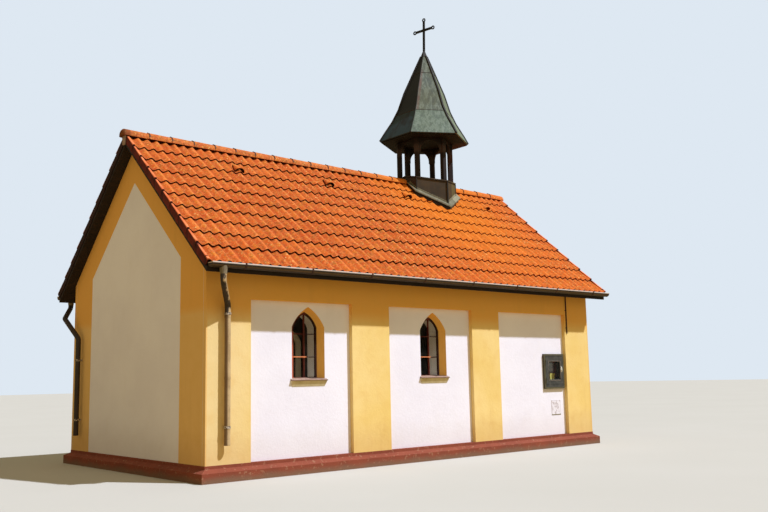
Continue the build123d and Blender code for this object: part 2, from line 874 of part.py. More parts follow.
# apron of sheet on bearers over the tile crests, with an upstand against the drum
with BuildPart() as turret_flashing:
    for radius, low, high in (
        (drum_radius + bearer_reach, -wave_height, apron_lift),
        (drum_radius + apron_reach, apron_lift, apron_lift + apron_sheet),
        (drum_radius + apron_upstand_sheet, -wave_height, apron_upstand),
    ):
        with BuildPart(mode=Mode.PRIVATE) as layer:
            with BuildSketch(Plane.XY.offset(turret_foot_z)):
                with Locations((turret_x, 0)):
                    Polygon(*hexagon_points(radius), align=None)
                    Polygon(*hexagon_points(drum_radius), align=None, mode=Mode.SUBTRACT)
            extrude(amount=soffit_z - turret_foot_z)
            with BuildSketch(Plane.YZ.offset(turret_x)):
                with BuildLine():
                    bottom, top = crest_apex_z + low, crest_apex_z + high
                    Polyline(
                        (0, bottom), (turret_reach, roof_z(bottom, turret_reach)),
                        (turret_reach, roof_z(top, turret_reach)), (0, top),
                        (-turret_reach, roof_z(top, turret_reach)),
                        (-turret_reach, roof_z(bottom, turret_reach)),
                        close=True,
                    )
                make_face()
            extrude(amount=turret_reach, both=True, mode=Mode.INTERSECT)
        add(layer.part)
    with Locations((turret_x, 0, ridge_axis_z)):
        Box(2 * turret_reach, 2 * (ridge_radius + seat_gap), 4 * ridge_radius,
            mode=Mode.SUBTRACT)
turret_flashing.part.label = "turret_flashing"
export_step(turret_flashing.part, "parts/turret_flashing.step")

with BuildPart() as turret_posts:
    with BuildSketch(Plane.XY.offset(turret_foot_z)):
        with Locations((turret_x, 0)):
            with PolarLocations(post_ring, 6, start_angle=30):
                Rectangle(post_size, post_size)
    extrude(amount=soffit_z - turret_foot_z)
    with BuildSketch(Plane.YZ.offset(turret_x)):
        with BuildLine():
            Polyline(
                (0, deck_apex_z), (turret_reach, deck_plane_z(deck_apex_z, turret_reach)),
                (turret_reach, soffit_z), (-turret_reach, soffit_z),
                (-turret_reach, deck_plane_z(deck_apex_z, turret_reach)),
                close=True,
            )
        make_face()
    extrude(amount=turret_reach, both=True, mode=Mode.INTERSECT)
turret_posts.part.label = "turret_posts"
export_step(turret_posts.part, "parts/turret_posts.step")

post_apothem = post_ring * cos(radians(30))
arch_opening = post_ring / 2 - post_size / 2 - arch_side_margin
arch_foot_z = soffit_z - arch_depth
arch_centre_z = soffit_z - arch_centre_drop
with BuildPart() as arch_blank:
    with BuildSketch(Plane.YZ.offset(post_apothem - arch_board / 2)):
        with Locations((0, (arch_foot_z + soffit_z) / 2)):
            Rectangle(post_ring, arch_depth)
        with Locations((0, arch_centre_z)):
            Circle(arch_opening, mode=Mode.SUBTRACT)
            Rectangle(2 * arch_opening, arch_depth, align=(Align.CENTER, Align.MAX),
                      mode=Mode.SUBTRACT)
    extrude(amount=arch_board)
with BuildPart() as turret_arches:
    with Locations([Location((turret_x, 0, 0), (0, 0, 60 * k)) for k in range(6)]):
        add(arch_blank.part)
    add(turret_posts.part, mode=Mode.SUBTRACT)
turret_arches.part.label = "turret_arches"
export_step(turret_arches.part, "parts/turret_arches.step")

spire_foot_z = soffit_z + soffit_board
with BuildPart() as turret_soffit:
    with BuildSketch(Plane.XY.offset(soffit_z)):
        with Locations((turret_x, 0)):
            Polygon(*hexagon_points(soffit_radius), align=None)
    extrude(amount=soffit_board)
turret_soffit.part.label = "turret_soffit"
export_step(turret_soffit.part, "parts/turret_soffit.step")


def spire_x(height):
    """Centre of the spire at a height above its foot; it leans a little along the ridge."""
    return turret_x + spire_tip_offset * height / spire_height


with BuildPart() as spire:
    for height, radius in (
        (0, spire_eave_radius),
        (spire_eave_edge, spire_eave_radius),
        (spire_mid_height, spire_mid_radius),
        (spire_low_height, spire_low_radius),
        (spire_break_height, spire_break_radius),
        (spire_waist_height, spire_waist_radius),
        (spire_height, spire_tip_radius),
    ):
        with BuildSketch(Plane.XY.offset(spire_foot_z + height)):
            with Locations((spire_x(height), 0)):
                Polygon(*hexagon_points(radius), align=None)
    loft(ruled=True)
spire.part.label = "spire"
export_step(spire.part, "parts/spire.step")

spire_tip_z = spire_foot_z + spire_height
cap_top_z = spire_tip_z + cap_height
with BuildPart() as spire_cap:
    for height, radius in ((spire_height, cap_radius), (spire_height + cap_height, cap_top_radius)):
        with BuildSketch(Plane.XY.offset(spire_foot_z + height)):
            with Locations((spire_x(height), 0)):
                Polygon(*hexagon_points(radius), align=None)
    loft(ruled=True)
spire_cap.part.label = "spire_cap"
export_step(spire_cap.part, "parts/spire_cap.step")

spire_lean = degrees(atan(spire_tip_offset / spire_height))
with BuildPart() as cross_blank:
    with Locations((0, 0, -cross_bar)):
        Box(cross_bar_thickness, cross_bar, cross_height + cross_bar - cross_ring,
            align=(Align.CENTER, Align.CENTER, Align.MIN))
    with Locations((0, 0, cross_arm_height)):
        Box(cross_bar_thickness, 2 * (cross_arm - cross_ring), cross_bar)
    for y, z in ((0, cross_height), (cross_arm, cross_arm_height), (-cross_arm, cross_arm_height)):
        with BuildSketch(Plane.YZ):
            with Locations((y, z)):
                Circle(cross_ring + cross_ring_bar / 2)
                Circle(cross_ring - cross_ring_bar / 2, mode=Mode.SUBTRACT)
        extrude(amount=cross_bar_thickness / 2, both=True)
with BuildPart() as roof_cross:
    with Locations(Location(
        (spire_x(spire_height + cap_height), 0, cap_top_z), (0, spire_lean, cross_turn)
    )):
        add(cross_blank.part)
    split(bisect_by=Plane.XY.offset(cap_top_z))
roof_cross.part.label = "roof_cross"
export_step(roof_cross.part, "parts/roof_cross.step")

# Notice case
case_face_y = panel_face_y - case_projection
case_back_y = panel_face_y + niche_depth - seat_gap
mouth_left_x = case_left_x + case_border_side
mouth_right_x = case_right_x - case_border_side
mouth_bottom_z = case_bottom_z + case_border_bottom
mouth_top_z = case_top_z - case_border_top
mouth_x = (mouth_left_x + mouth_right_x) / 2
mouth_z = (mouth_bottom_z + mouth_top_z) / 2
leaf_left_x = mouth_left_x + case_gap
leaf_right_x = mouth_right_x - case_gap
leaf_bottom_z = mouth_bottom_z + case_gap
leaf_top_z = mouth_top_z - case_gap
pane_left_x = leaf_left_x + case_stile_hinge
pane_right_x = leaf_right_x - case_stile_knob
pane_bottom_z = leaf_bottom_z + case_rail_bottom
pane_top_z = leaf_top_z - case_rail_top
pane_spot = ((pane_left_x + pane_right_x) / 2, (pane_bottom_z + pane_top_z) / 2)
pane_size = (pane_right_x - pane_left_x, pane_top_z - pane_bottom_z)
hinge_x = mouth_left_x + case_gap / 2
hinge_y = case_face_y - hinge_offset
knuckle_spots = (leaf_bottom_z + knuckle_inset, leaf_top_z - knuckle_inset)

with BuildPart() as notice_case:
    with BuildSketch(Plane.XZ.offset(-case_back_y)):
        with Locations((case_mid_x, case_mid_z)):
            Rectangle(case_width, case_height)
    extrude(amount=case_back_y - case_face_y)
    with BuildSketch(Plane.XZ.offset(-case_back_y + case_sheet)):
        with Locations((case_mid_x, case_mid_z)):
            Rectangle(case_width - 2 * case_sheet, case_height - 2 * case_sheet)
    extrude(amount=case_back_y - case_face_y - case_sheet - case_leaf, mode=Mode.SUBTRACT)
    with BuildSketch(Plane.XZ.offset(-case_face_y)):
        with Locations((mouth_x, mouth_z)):
            Rectangle(mouth_right_x - mouth_left_x, mouth_top_z - mouth_bottom_z)
    extrude(amount=-case_leaf - case_sheet, mode=Mode.SUBTRACT)
    for z in knuckle_spots:
        with Locations((hinge_x, case_face_y, z - knuckle_length / 2)):
            Box(hinge_strap, hinge_offset, knuckle_length, align=(Align.MAX, Align.MAX, Align.MAX))
        with Locations((hinge_x, hinge_y, z - knuckle_length / 2)):
            Cylinder(hinge_barrel, knuckle_length, align=(Align.CENTER, Align.CENTER, Align.MAX))
            Cylinder(hinge_pin, knuckle_length, align=(Align.CENTER, Align.CENTER, Align.MIN))
notice_case.part.label = "notice_case"
export_step(notice_case.part, "parts/notice_case.step")

with BuildPart() as case_door:
    with BuildSketch(Plane.XZ.offset(-case_face_y)):
        with Locations((mouth_x, mouth_z)):
            Rectangle(leaf_right_x - leaf_left_x, leaf_top_z - leaf_bottom_z)
        with Locations(pane_spot):
            Rectangle(*pane_size, mode=Mode.SUBTRACT)
    extrude(amount=-case_leaf)
    for z in knuckle_spots:
        with Locations((hinge_x, case_face_y, z)):
            Box(hinge_strap, hinge_offset, knuckle_length - knuckle_clearance,
                align=(Align.MIN, Align.MAX, Align.CENTER))
        with Locations((hinge_x, hinge_y, z)):
            Cylinder(hinge_barrel, knuckle_length - knuckle_clearance)
            Cylinder(hinge_bore, knuckle_length, mode=Mode.SUBTRACT)
case_door.part.label = "case_door"
export_step(case_door.part, "parts/case_door.step")

with BuildPart() as case_door_glass:
    with BuildSketch(Plane.XZ.offset(-case_face_y - case_leaf / 2)):
        with Locations(pane_spot):
            Rectangle(pane_size[0] - seat_gap, pane_size[1] - seat_gap)
    extrude(amount=case_glass / 2, both=True)
case_door_glass.part.label = "case_door_glass"
export_step(case_door_glass.part, "parts/case_door_glass.step")

with BuildPart() as case_door_knob:
    with BuildSketch(Plane.XZ.offset(-case_face_y)):
        with Locations((leaf_right_x - knob_inset, mouth_z)):
            Circle(knob_radius)
    extrude(amount=knob_length)
    fillet(case_door_knob.edges().filter_by(GeomType.CIRCLE).sort_by(Axis.Y)[0], knob_round)
case_door_knob.part.label = "case_door_knob"
export_step(case_door_knob.part, "parts/case_door_knob.step")

with BuildPart() as wall_plate:
    with BuildSketch(Plane.XZ.offset(-panel_face_y)):
        with Locations((panel_edges[2][1] - plate_offset, plate_z)):
            Rectangle(plate_width, plate_height)
    extrude(amount=plate_thickness)
wall_plate.part.label = "wall_plate"
export_step(wall_plate.part, "parts/wall_plate.step")
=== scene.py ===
"""Small village chapel: plaster walls, a roof of double-wave tiles and an open ridge turret.

Metres, +Z up, ground at z = 0, X along the ridge with the entrance gable at +X. The long
side with the notice case faces -Y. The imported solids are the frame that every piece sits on.
"""
import random
from math import atan2, cos, degrees, pi, radians, sin, tan

import bmesh
import bpy
from mathutils import Matrix, Vector


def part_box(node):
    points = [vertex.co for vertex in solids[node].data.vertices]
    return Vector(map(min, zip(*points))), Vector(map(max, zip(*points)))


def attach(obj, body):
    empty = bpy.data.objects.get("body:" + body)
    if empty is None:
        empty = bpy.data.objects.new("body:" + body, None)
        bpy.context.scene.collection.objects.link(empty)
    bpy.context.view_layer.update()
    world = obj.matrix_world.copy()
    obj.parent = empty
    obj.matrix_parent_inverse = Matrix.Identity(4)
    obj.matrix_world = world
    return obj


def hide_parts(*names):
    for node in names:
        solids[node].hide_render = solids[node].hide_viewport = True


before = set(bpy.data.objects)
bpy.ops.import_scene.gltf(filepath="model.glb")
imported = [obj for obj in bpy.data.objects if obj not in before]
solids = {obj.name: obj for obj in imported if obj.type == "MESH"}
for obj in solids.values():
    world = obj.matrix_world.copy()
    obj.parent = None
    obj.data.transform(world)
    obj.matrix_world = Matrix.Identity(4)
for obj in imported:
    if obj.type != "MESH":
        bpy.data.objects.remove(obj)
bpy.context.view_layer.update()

# Camera
# The view of the photograph: from 1.25 m above the ground, off the blind gable's corner,
# looking up a little, worked out from the walls, eaves and ridge.
eye = Vector((-9.493, -12.101, 1.251))
heading, climb, lean = 0.710195, 0.140369, -0.020570
view_camera = bpy.data.cameras.new("view_camera")
view_camera.sensor_width = 36.0
view_camera.lens = 40.695
view_camera.clip_end = 500.0
viewer = bpy.data.objects.new("viewer", view_camera)
viewer.matrix_world = (Matrix.Translation(eye) @ Matrix.Rotation(-heading, 4, "Z")
                       @ Matrix.Rotation(pi / 2 + climb, 4, "X") @ Matrix.Rotation(lean, 4, "Z"))
bpy.context.scene.collection.objects.link(viewer)
bpy.context.scene.camera = viewer
bpy.context.scene.view_settings.view_transform = "Standard"


# Light and floor
# A sharp high lamp from the right, as the sun stands in the photograph, a weak broad one
# from the viewer's side, and an even pale sky. The floor is a plain pale sheet.
def screen(red, green, blue):
    """A colour as it shows on screen, 0 to 255, as the renderer's linear values."""
    parts = [value / 255 for value in (red, green, blue)]
    return tuple(p / 12.92 if p < 0.04045 else ((p + 0.055) / 1.055) ** 2.4 for p in parts) + (1.0,)


class Value:
    """One socket of a finish. Arithmetic on it adds Math nodes to that finish."""

    def __init__(self, finish, socket):
        self.finish, self.socket = finish, socket

    def maths(self, operation, *values):
        return self.finish.node("ShaderNodeMath", {"operation": operation}, dict(enumerate(values)))

    def __add__(self, other):
        return self.maths("ADD", self, other)

    def __sub__(self, other):
        return self.maths("SUBTRACT", self, other)

    def __rsub__(self, other):
        return self.maths("SUBTRACT", other, self)

    def __mul__(self, other):
        return self.maths("MULTIPLY", self, other)

    def __truediv__(self, other):
        return self.maths("DIVIDE", self, other)

    def __mod__(self, other):
        return self.maths("FLOORED_MODULO", self, other)

    def __gt__(self, other):
        return self.maths("GREATER_THAN", self, other)

    def __lt__(self, other):
        return self.maths("LESS_THAN", self, other)

    def __abs__(self):
        return self.maths("ABSOLUTE", self)

    __radd__, __rmul__ = __add__, __mul__

    def least(self, other):
        return self.maths("MINIMUM", self, other)

    def most(self, other):
        return self.maths("MAXIMUM", self, other)

    def near(self, centre, reach):
        """1 within reach of centre, 0 beyond."""
        return self.maths("COMPARE", self, centre, reach)

    def rise(self, low, high):
        """0 below low, 1 above high and a soft step between."""
        return self.finish.node("ShaderNodeMapRange", {"interpolation_type": "SMOOTHSTEP"},
                                {"Value": self, "From Min": low, "From Max": high})


class Finish:
    """A material with its node tree: one method adds any node, and paint ends it.
    Three numbers given to a colour socket are a colour on screen."""

    def __init__(self, name, **constants):
        self.material = bpy.data.materials.new(name)
        self.material.use_nodes = True
        self.tree = self.material.node_tree
        self.shader = next(n for n in self.tree.nodes if n.type == "BSDF_PRINCIPLED")
        self.spot = None
        for socket, value in constants.items():
            self.shader.inputs[socket.replace("_", " ")].default_value = value

    def node(self, kind, settings=None, sockets=None, out=0):
        added = self.tree.nodes.new(kind)
        for key, value in (settings or {}).items():
            setattr(added, key, value)
        for key, value in (sockets or {}).items():
            self.feed(added.inputs[key], value)
        return Value(self, added.outputs[out])

    def feed(self, socket, value):
        if isinstance(value, Value):
            self.tree.links.new(value.socket, socket)
        else:
            socket.default_value = screen(*value) if socket.type == "RGBA" else value

    def place(self):
        """Where a point is, in metres, the same for every piece."""
        if self.spot is None:
            self.spot = self.node("ShaderNodeTexCoord", out="Object")
        return self.spot

    def axes(self):
        split = self.node("ShaderNodeSeparateXYZ", sockets={0: self.place()})
        return [Value(self, output) for output in split.socket.node.outputs]

    def noise(self, scale, stretch=(1, 1, 1), detail=3.0, rough=0.55, twist=0.0):
        """Cloudy 0 to 1 pattern with scale blotches to the metre."""
        spread = self.node("ShaderNodeMapping", sockets={"Vector": self.place(), "Scale": stretch})
        return self.node("ShaderNodeTexNoise", sockets={
            "Vector": spread, "Scale": scale, "Detail": detail, "Roughness": rough, "Distortion": twist})

    def mix(self, share, first, second):
        """first where share is 0, second where it is 1."""
        return self.node("ShaderNodeMix", {"data_type": "RGBA", "blend_type": "MIX", "clamp_factor": True},
                         {0: share, 6: first, 7: second}, out=2)

    def coats(self, colour, *layers):
        """A colour under layers, each given as its share and its own colour."""
        for share, shade in layers:
            colour = self.mix(share, colour, shade)
        return colour

    def paint(self, colour, roughness=None, height=None, depth=0.002, **others):
        self.feed(self.shader.inputs["Base Color"], colour)
        if roughness is not None:
            self.feed(self.shader.inputs["Roughness"], roughness)
        if height is not None:
            bump = self.node("ShaderNodeBump", sockets={"Height": height, "Distance": depth}, out="Normal")
            self.feed(self.shader.inputs["Normal"], bump)
        for socket, value in others.items():
            self.feed(self.shader.inputs[socket], value)
        return self.material


def lamp(name, toward, strength, spread, colour):
    """A distant lamp that shines from the direction toward, as wide as spread in radians."""
    light = bpy.data.lights.new(name, "SUN")
    light.energy, light.angle, light.color = strength, spread, colour
    holder = bpy.data.objects.new(name, light)
    holder.rotation_euler = Vector(toward).to_track_quat("Z", "Y").to_euler()
    bpy.context.scene.collection.objects.link(holder)


lamp("high_lamp", (0.3155, -0.5007, 0.8062), 4.62, 0.022, (0.78, 0.845, 1.0))
lamp("viewer_lamp", (-0.25, -0.80, 0.42), 0.22, 1.2, (1.0, 0.90, 0.72))

sky = bpy.data.worlds.new("pale_sky")
sky.use_nodes = True
bpy.context.scene.world = sky
sky_tree = sky.node_tree
sky_light = next(n for n in sky_tree.nodes if n.type == "BACKGROUND")
sky_light.inputs["Color"].default_value = (1.0, 0.85, 0.55, 1.0)
sky_light.inputs["Strength"].default_value = 0.34
shown_sky = sky_tree.nodes.new("ShaderNodeBackground")
shown_sky.inputs["Color"].default_value = screen(222, 232, 242)
which_ray = sky_tree.nodes.new("ShaderNodeLightPath")
sky_choice = sky_tree.nodes.new("ShaderNodeMixShader")
sky_out = next(n for n in sky_tree.nodes if n.type == "OUTPUT_WORLD")
for source, target in ((which_ray.outputs["Is Camera Ray"], sky_choice.inputs[0]),
                       (sky_light.outputs[0], sky_choice.inputs[1]),
                       (shown_sky.outputs[0], sky_choice.inputs[2]),
                       (sky_choice.outputs[0], sky_out.inputs["Surface"])):
    sky_tree.links.new(source, target)

sheet_half = 120.0
floor_form = bmesh.new()
bmesh.ops.create_grid(floor_form, x_segments=1, y_segments=1, size=sheet_half)
floor_mesh = bpy.data.meshes.new("studio_floor")
floor_form.to_mesh(floor_mesh)
floor_form.free()
floor_finish = Finish("pale_floor", Roughness=0.95)
shown_floor = floor_finish.mix(floor_finish.noise(0.35, detail=2.0), (196, 192, 180), (203, 199, 188))
seen = floor_finish.node("ShaderNodeLightPath", out="Is Camera Ray")
floor_mesh.materials.append(floor_finish.paint(floor_finish.mix(seen, (166, 142, 92), shown_floor)))
studio_floor = bpy.data.objects.new("studio_floor", floor_mesh)
bpy.context.scene.collection.objects.link(studio_floor)


# Plinth
# The footing that the walls stand on: masonry with a sloped ledge, under a red-brown
# painted cement render that is worn and chipped, with earth splashed up its foot.
def cover(material, *names):
    """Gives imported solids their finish."""
    for name in names:
        solids[name].data.materials[0] = material


footing = Finish("plinth_paint", Roughness=0.9)
x, y, z = footing.axes()
wear = footing.noise(3.0, detail=6.0, rough=0.6)
chips = footing.noise(22.0, detail=4.0).rise(0.60, 0.66)
splash = 1 - (z + wear * 0.10).rise(0.06, 0.16)
footing_tone = footing.coats(footing.mix(wear, (112, 48, 28), (158, 78, 50)),
                             (chips * 0.5, (176, 132, 100)), (splash * 0.65, (122, 104, 80)))
cover(footing.paint(footing_tone, height=footing.noise(60.0, detail=5.0) + wear * 0.8, depth=0.006), "plinth")

# Floor and doorstep
# Inside lie worn stone flags on the footing. Before the door lies one dressed block of
# the same stone, dirty along its foot.
stone = Finish("worn_stone", Roughness=0.8)
flags = stone.node("ShaderNodeTexBrick", {"offset": 0.5}, {
    "Vector": stone.place(), "Scale": 1.0, "Mortar Size": 0.008, "Mortar Smooth": 0.3,
    "Brick Width": 0.62, "Row Height": 0.41, "Color1": (150, 144, 132),
    "Color2": (128, 123, 114), "Mortar": (92, 86, 76)})
joint = Value(stone, flags.socket.node.outputs["Fac"])
speckle = stone.noise(180.0, detail=2.0)
flag_tone = stone.coats(flags, (stone.noise(2.5, detail=5.0).rise(0.35, 0.75) * 0.35, (104, 98, 84)),
                        (speckle.rise(0.45, 0.75) * 0.3, (186, 180, 166)))
cover(stone.paint(flag_tone, roughness=0.62 + speckle * 0.3, height=speckle * 0.2 - joint, depth=0.004),
      "floor")

dressed = Finish("step_stone", Roughness=0.85)
x, y, z = dressed.axes()
grain = dressed.noise(140.0, detail=3.0)
dirt = (1 - z.rise(0.0, 0.10)) * 0.5 + dressed.noise(5.0, detail=5.0).rise(0.5, 0.8) * 0.3
step_tone = dressed.coats(dressed.mix(grain, (140, 134, 122), (192, 186, 172)), (dirt, (96, 88, 74)))
cover(dressed.paint(step_tone, height=grain, depth=0.003), "doorstep")

# Walls
# Brick masonry under lime plaster: ochre on the pilasters, frieze, gable borders and
# window reveals, white on the panels set back between them. The ochre is paler toward
# the blind gable's end, a painted highlight, and a deeper orange as painted shade under
# the eaves, on the gables and in the reveals. The room is a dull buff, painted shade for
# the dim room.
panel_plane, field_plane, field_half, skin = 2.130, 3.996, 2.129, 0.0015
gable_zone, room_half, room_y, reveal_in, reveal_out, reveal_reach = 3.98, 3.601, 1.801, 1.994, 2.128, 3.9
plaster = Finish("wall_plaster", Roughness=0.92)
x, y, z = plaster.axes()
gable_field = abs(x).near(field_plane, skin) * (abs(y) < field_half)
white = abs(y).near(panel_plane, skin).most(gable_field)
inside = (abs(x) < room_half) * (abs(y) < reveal_in)
in_reveal = (abs(y) > reveal_in) * (abs(y) < reveal_out) * (abs(x) < reveal_reach)
broad = plaster.noise(0.9, detail=4.0, rough=0.6)
patch = plaster.noise(4.5, detail=6.0, rough=0.62)
fine = plaster.noise(160.0, detail=4.0, rough=0.6)
runs = plaster.noise(7.0, stretch=(1, 1, 0.10), detail=4.0)
foot = 1 - (z - patch * 0.25).rise(0.16, 0.62)
# Where the painted shade falls: under the eaves, on the gable faces and in the window reveals.
painted_eave_shade = (z + patch * 0.06).rise(1.98, 2.30)
painted_shade_tint = painted_eave_shade.most((abs(x) > gable_zone) * 0.55).most(in_reveal * 0.75)
ochre = plaster.coats(
    plaster.mix(broad.rise(0.3, 0.7), (241, 205, 116), (249, 218, 142)),
    # A painted highlight, paler toward the blind gable's end, then the painted shade, a deeper orange.
    ((1 - x.rise(-3.7, -2.9)) * 0.55, (240, 216, 164)), (painted_shade_tint * 0.9, (242, 176, 76)),
    (patch.rise(0.45, 0.8) * 0.30, (230, 180, 88)), (runs.rise(0.52, 0.80) * 0.18, (210, 158, 78)),
    (foot * 0.30, (196, 146, 84)))
chalk = plaster.coats(
    plaster.mix(broad.rise(0.3, 0.7), (242, 238, 246), (249, 246, 253)),
    (patch.rise(0.5, 0.85) * 0.12, (222, 214, 202)), (runs.rise(0.56, 0.85) * 0.10, (204, 192, 176)),
    (foot * 0.20, (206, 190, 168)))
# The room walls take a dull buff, painted shade for the dim room; the inner reveals stay pale.
coloured = plaster.coats(ochre, (white, chalk), (inside, (252, 248, 238)),
                         (inside * (abs(y) < room_y), (108, 92, 66)))
trowel = fine * 0.35 + plaster.noise(28.0, detail=3.0) * 0.6 + patch * 0.8
cover(plaster.paint(coloured, roughness=0.86 + fine * 0.12, height=trowel, depth=0.004),
      "front_wall", "back_wall", "left_gable_wall", "right_gable_wall")

# Windows
# Fixed steel windows: a frame of flat bar bent to the pointed head, an upright and two
# cross bars welded into it, and panes puttied in from outside. The red-brown paint carries
# painted sunlight at the lower left, where the sun comes past the reveal, and painted
# shade on the right half.
window_centres, half_inside, bar_front, bar_back = (-2.350, 0.070), 0.205, 2.029, 1.9995
upright_width, upright_foot, upright_head = 0.018, 1.282, 2.184
cross_width, cross_heights, bar_edge = 0.014, (1.577, 1.899), 0.004


def edges_of(verts):
    """The edges at some points, each once."""
    return list(dict.fromkeys(e for v in verts for e in v.link_edges))


def rounded(form, edges, offset, segments=2):
    """Rounds edges off."""
    return bmesh.ops.bevel(form, geom=edges, offset=offset, offset_type="OFFSET", segments=segments,
                           profile=0.5, affect="EDGES", clamp_overlap=True, material=-1)


def block(form, low, high, edge=0.0, segments=2):
    """A box between two corners with its edges rounded off."""
    low, high = Vector(low), Vector(high)
    place = Matrix.Translation((low + high) / 2) @ Matrix.Diagonal((*(high - low), 1))
    corners = bmesh.ops.create_cube(form, size=1.0, matrix=place)["verts"]
    if edge:
        rounded(form, edges_of(corners), edge, segments)
    return corners


def finished(name, form, finish, crease=35.0, outward=True):
    """Ends a bmesh as an object at the origin, smooth except where it bends sharply."""
    if outward:
        bmesh.ops.recalc_face_normals(form, faces=form.faces)
    mesh = bpy.data.meshes.new(name)
    form.to_mesh(mesh)
    form.free()
    mesh.materials.append(finish)
    mesh.shade_smooth()
    mesh.set_sharp_from_angle(angle=radians(crease))
    piece = bpy.data.objects.new(name, mesh)
    bpy.context.scene.collection.objects.link(piece)
    return piece


def from_window(x):
    """How far a point is to the right of the middle of its window."""
    left, right = window_centres
    return x - left - (x > (left + right) / 2) * (right - left)


steel = Finish("window_paint", Roughness=0.5, Specular_IOR_Level=0.3)
x, y, z = steel.axes()
rightward = from_window(x)
rubbed = steel.noise(30.0, detail=4.0)
on_cross = abs(z - cross_heights[0]).near(0, 0.012) * (abs(y) > bar_front - 0.006)
painted_sunlit_jamb = (rightward < -0.178) * (rightward > -0.210) * (1 - z.rise(1.90, 1.96))
# Painted shade on the right half of each window; painted sunlight on the left of the lower cross bar and on
# the left jamb below the eave's shadow.
steel_tone = steel.coats(
    steel.mix(rubbed.rise(0.35, 0.7), (78, 28, 17), (100, 42, 26)),
    (rightward.rise(0.02, 0.04), (44, 18, 13)),
    ((1 - rightward.rise(0.030, 0.045)) * on_cross * 0.9, (238, 146, 92)),
    (painted_sunlit_jamb * 0.75, (190, 88, 40)), (steel.noise(90.0, detail=3.0).rise(0.66, 0.72), (132, 84, 50)))
window_paint = steel.paint(steel_tone, roughness=0.38 + rubbed * 0.25, height=rubbed, depth=0.0008)
cover(window_paint, "front_window_frames", "back_window_frames")
for side, wall in ((-1, "front"), (1, "back")):
    near, far = sorted((side * bar_front, side * bar_back))
    form = bmesh.new()
    for centre in window_centres:
        half = upright_width / 2
        block(form, (centre - half, near, upright_foot), (centre + half, far, upright_head), bar_edge)
        for level in cross_heights:
            block(form, (centre - half_inside, near, level - cross_width / 2),
                  (centre + half_inside, far, level + cross_width / 2), bar_edge)
    bars = finished(wall + "_window_bars", form, window_paint)
    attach(bars, "chapel")

# The panes are plain drawn glass, a little wavy and dusty, with the dark room behind them.
pane = Finish("window_pane", Roughness=0.06, Alpha=0.06)
dust = pane.noise(9.0, detail=5.0)
ripple = pane.noise(5.0, stretch=(1, 1, 0.4), detail=1.0)
cover(pane.paint(pane.mix(dust.rise(0.4, 0.8), (58, 60, 56), (112, 104, 88)),
                 roughness=0.05 + dust * 0.12, height=ripple, depth=0.004),
      "front_window_glass", "back_window_glass")

# Window sills
# Under each window a plastered sill block stands a little proud of the panel, covered by
# a folded red-brown sheet with a drip hem along its front.
hem_half, hem_y, hem_z, hem_radius = 0.302, 2.1735, 1.2515, 0.0045


def rod(form, start, end, radius, sides=12, far_radius=None):
    """A round bar, or a tapered one, between two points."""
    start, end = Vector(start), Vector(end)
    along = end - start
    place = Matrix.Translation((start + end) / 2) @ along.to_track_quat("Z", "Y").to_matrix().to_4x4()
    return bmesh.ops.create_cone(form, cap_ends=True, segments=sides, radius1=radius,
                                 radius2=radius if far_radius is None else far_radius,
                                 depth=along.length, matrix=place)["verts"]


sill_plaster = Finish("sill_plaster", Roughness=0.9)
# The block's khaki colour is painted shade, the shadow that the sheet casts on the white panel.
streaks_in_shade = sill_plaster.noise(8.0, stretch=(1, 1, 0.3), detail=5.0)
cover(sill_plaster.paint(sill_plaster.mix(streaks_in_shade.rise(0.35, 0.75), (222, 208, 166), (194, 180, 128)),
                         height=sill_plaster.noise(120.0, detail=3.0), depth=0.003), "sill_blocks")

folded = Finish("sill_sheet_paint", Roughness=0.5)
x, y, z = folded.axes()
fade = folded.noise(14.0, detail=5.0)
sheet_tone = folded.coats(
    folded.mix(fade.rise(0.3, 0.7), (184, 156, 138), (152, 122, 102)),
    (folded.noise(45.0, detail=3.0).rise(0.60, 0.7) * 0.6, (130, 84, 60)),
    # Painted shadow of the right reveal on the back of the sheet's top.
    ((z > 1.273) * from_window(x).rise(0.01, 0.05) * 0.85, (58, 36, 26)),
    (1 - z.rise(1.250, 1.262), (100, 60, 34)))
sill_sheet_paint = folded.paint(sheet_tone, roughness=0.42 + fade * 0.3, height=fade, depth=0.0015)
cover(sill_sheet_paint, "sill_flashings")
form = bmesh.new()
for side in (-1, 1):
    for centre in window_centres:
        left, right = centre - hem_half, centre + hem_half
        rod(form, (left, side * hem_y, hem_z), (right, side * hem_y, hem_z), hem_radius, 10)
hems = finished("sill_hems", form, sill_sheet_paint)
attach(hems, "chapel")

# Entrance door
# A pointed door of upright boards on the far gable, nailed to ledges behind and hung on
# two forged strap hinges, with a ring handle. The frame is sawn and stained oak.
door_low, door_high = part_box("door_leaf")
leaf_front, leaf_half, leaf_top = door_high
leaf_foot, leaf_spring = door_low.z, 1.850
board_thick, board_count, board_edge = 0.022, 7, 0.005
ledge_heights, ledge_high, ledge_inset = (0.42, 1.62), 0.14, 0.03


def points(grown):
    """The points that an extrusion added."""
    return [g for g in grown["geom"] if isinstance(g, bmesh.types.BMVert)]


oak = Finish("door_oak", Roughness=0.6)
fibre = oak.noise(9.0, stretch=(1, 6, 0.22), detail=6.0, rough=0.65, twist=0.6)
streak = oak.noise(60.0, stretch=(1, 3, 0.06), detail=3.0)
oak_tone = oak.coats(oak.mix(fibre.rise(0.3, 0.75), (96, 54, 32), (62, 32, 20)),
                     (streak.rise(0.55, 0.8) * 0.4, (128, 84, 54)))
door_oak = oak.paint(oak_tone, roughness=0.5 + streak * 0.3, height=fibre + streak * 0.5, depth=0.002)
cover(door_oak, "door_frame")

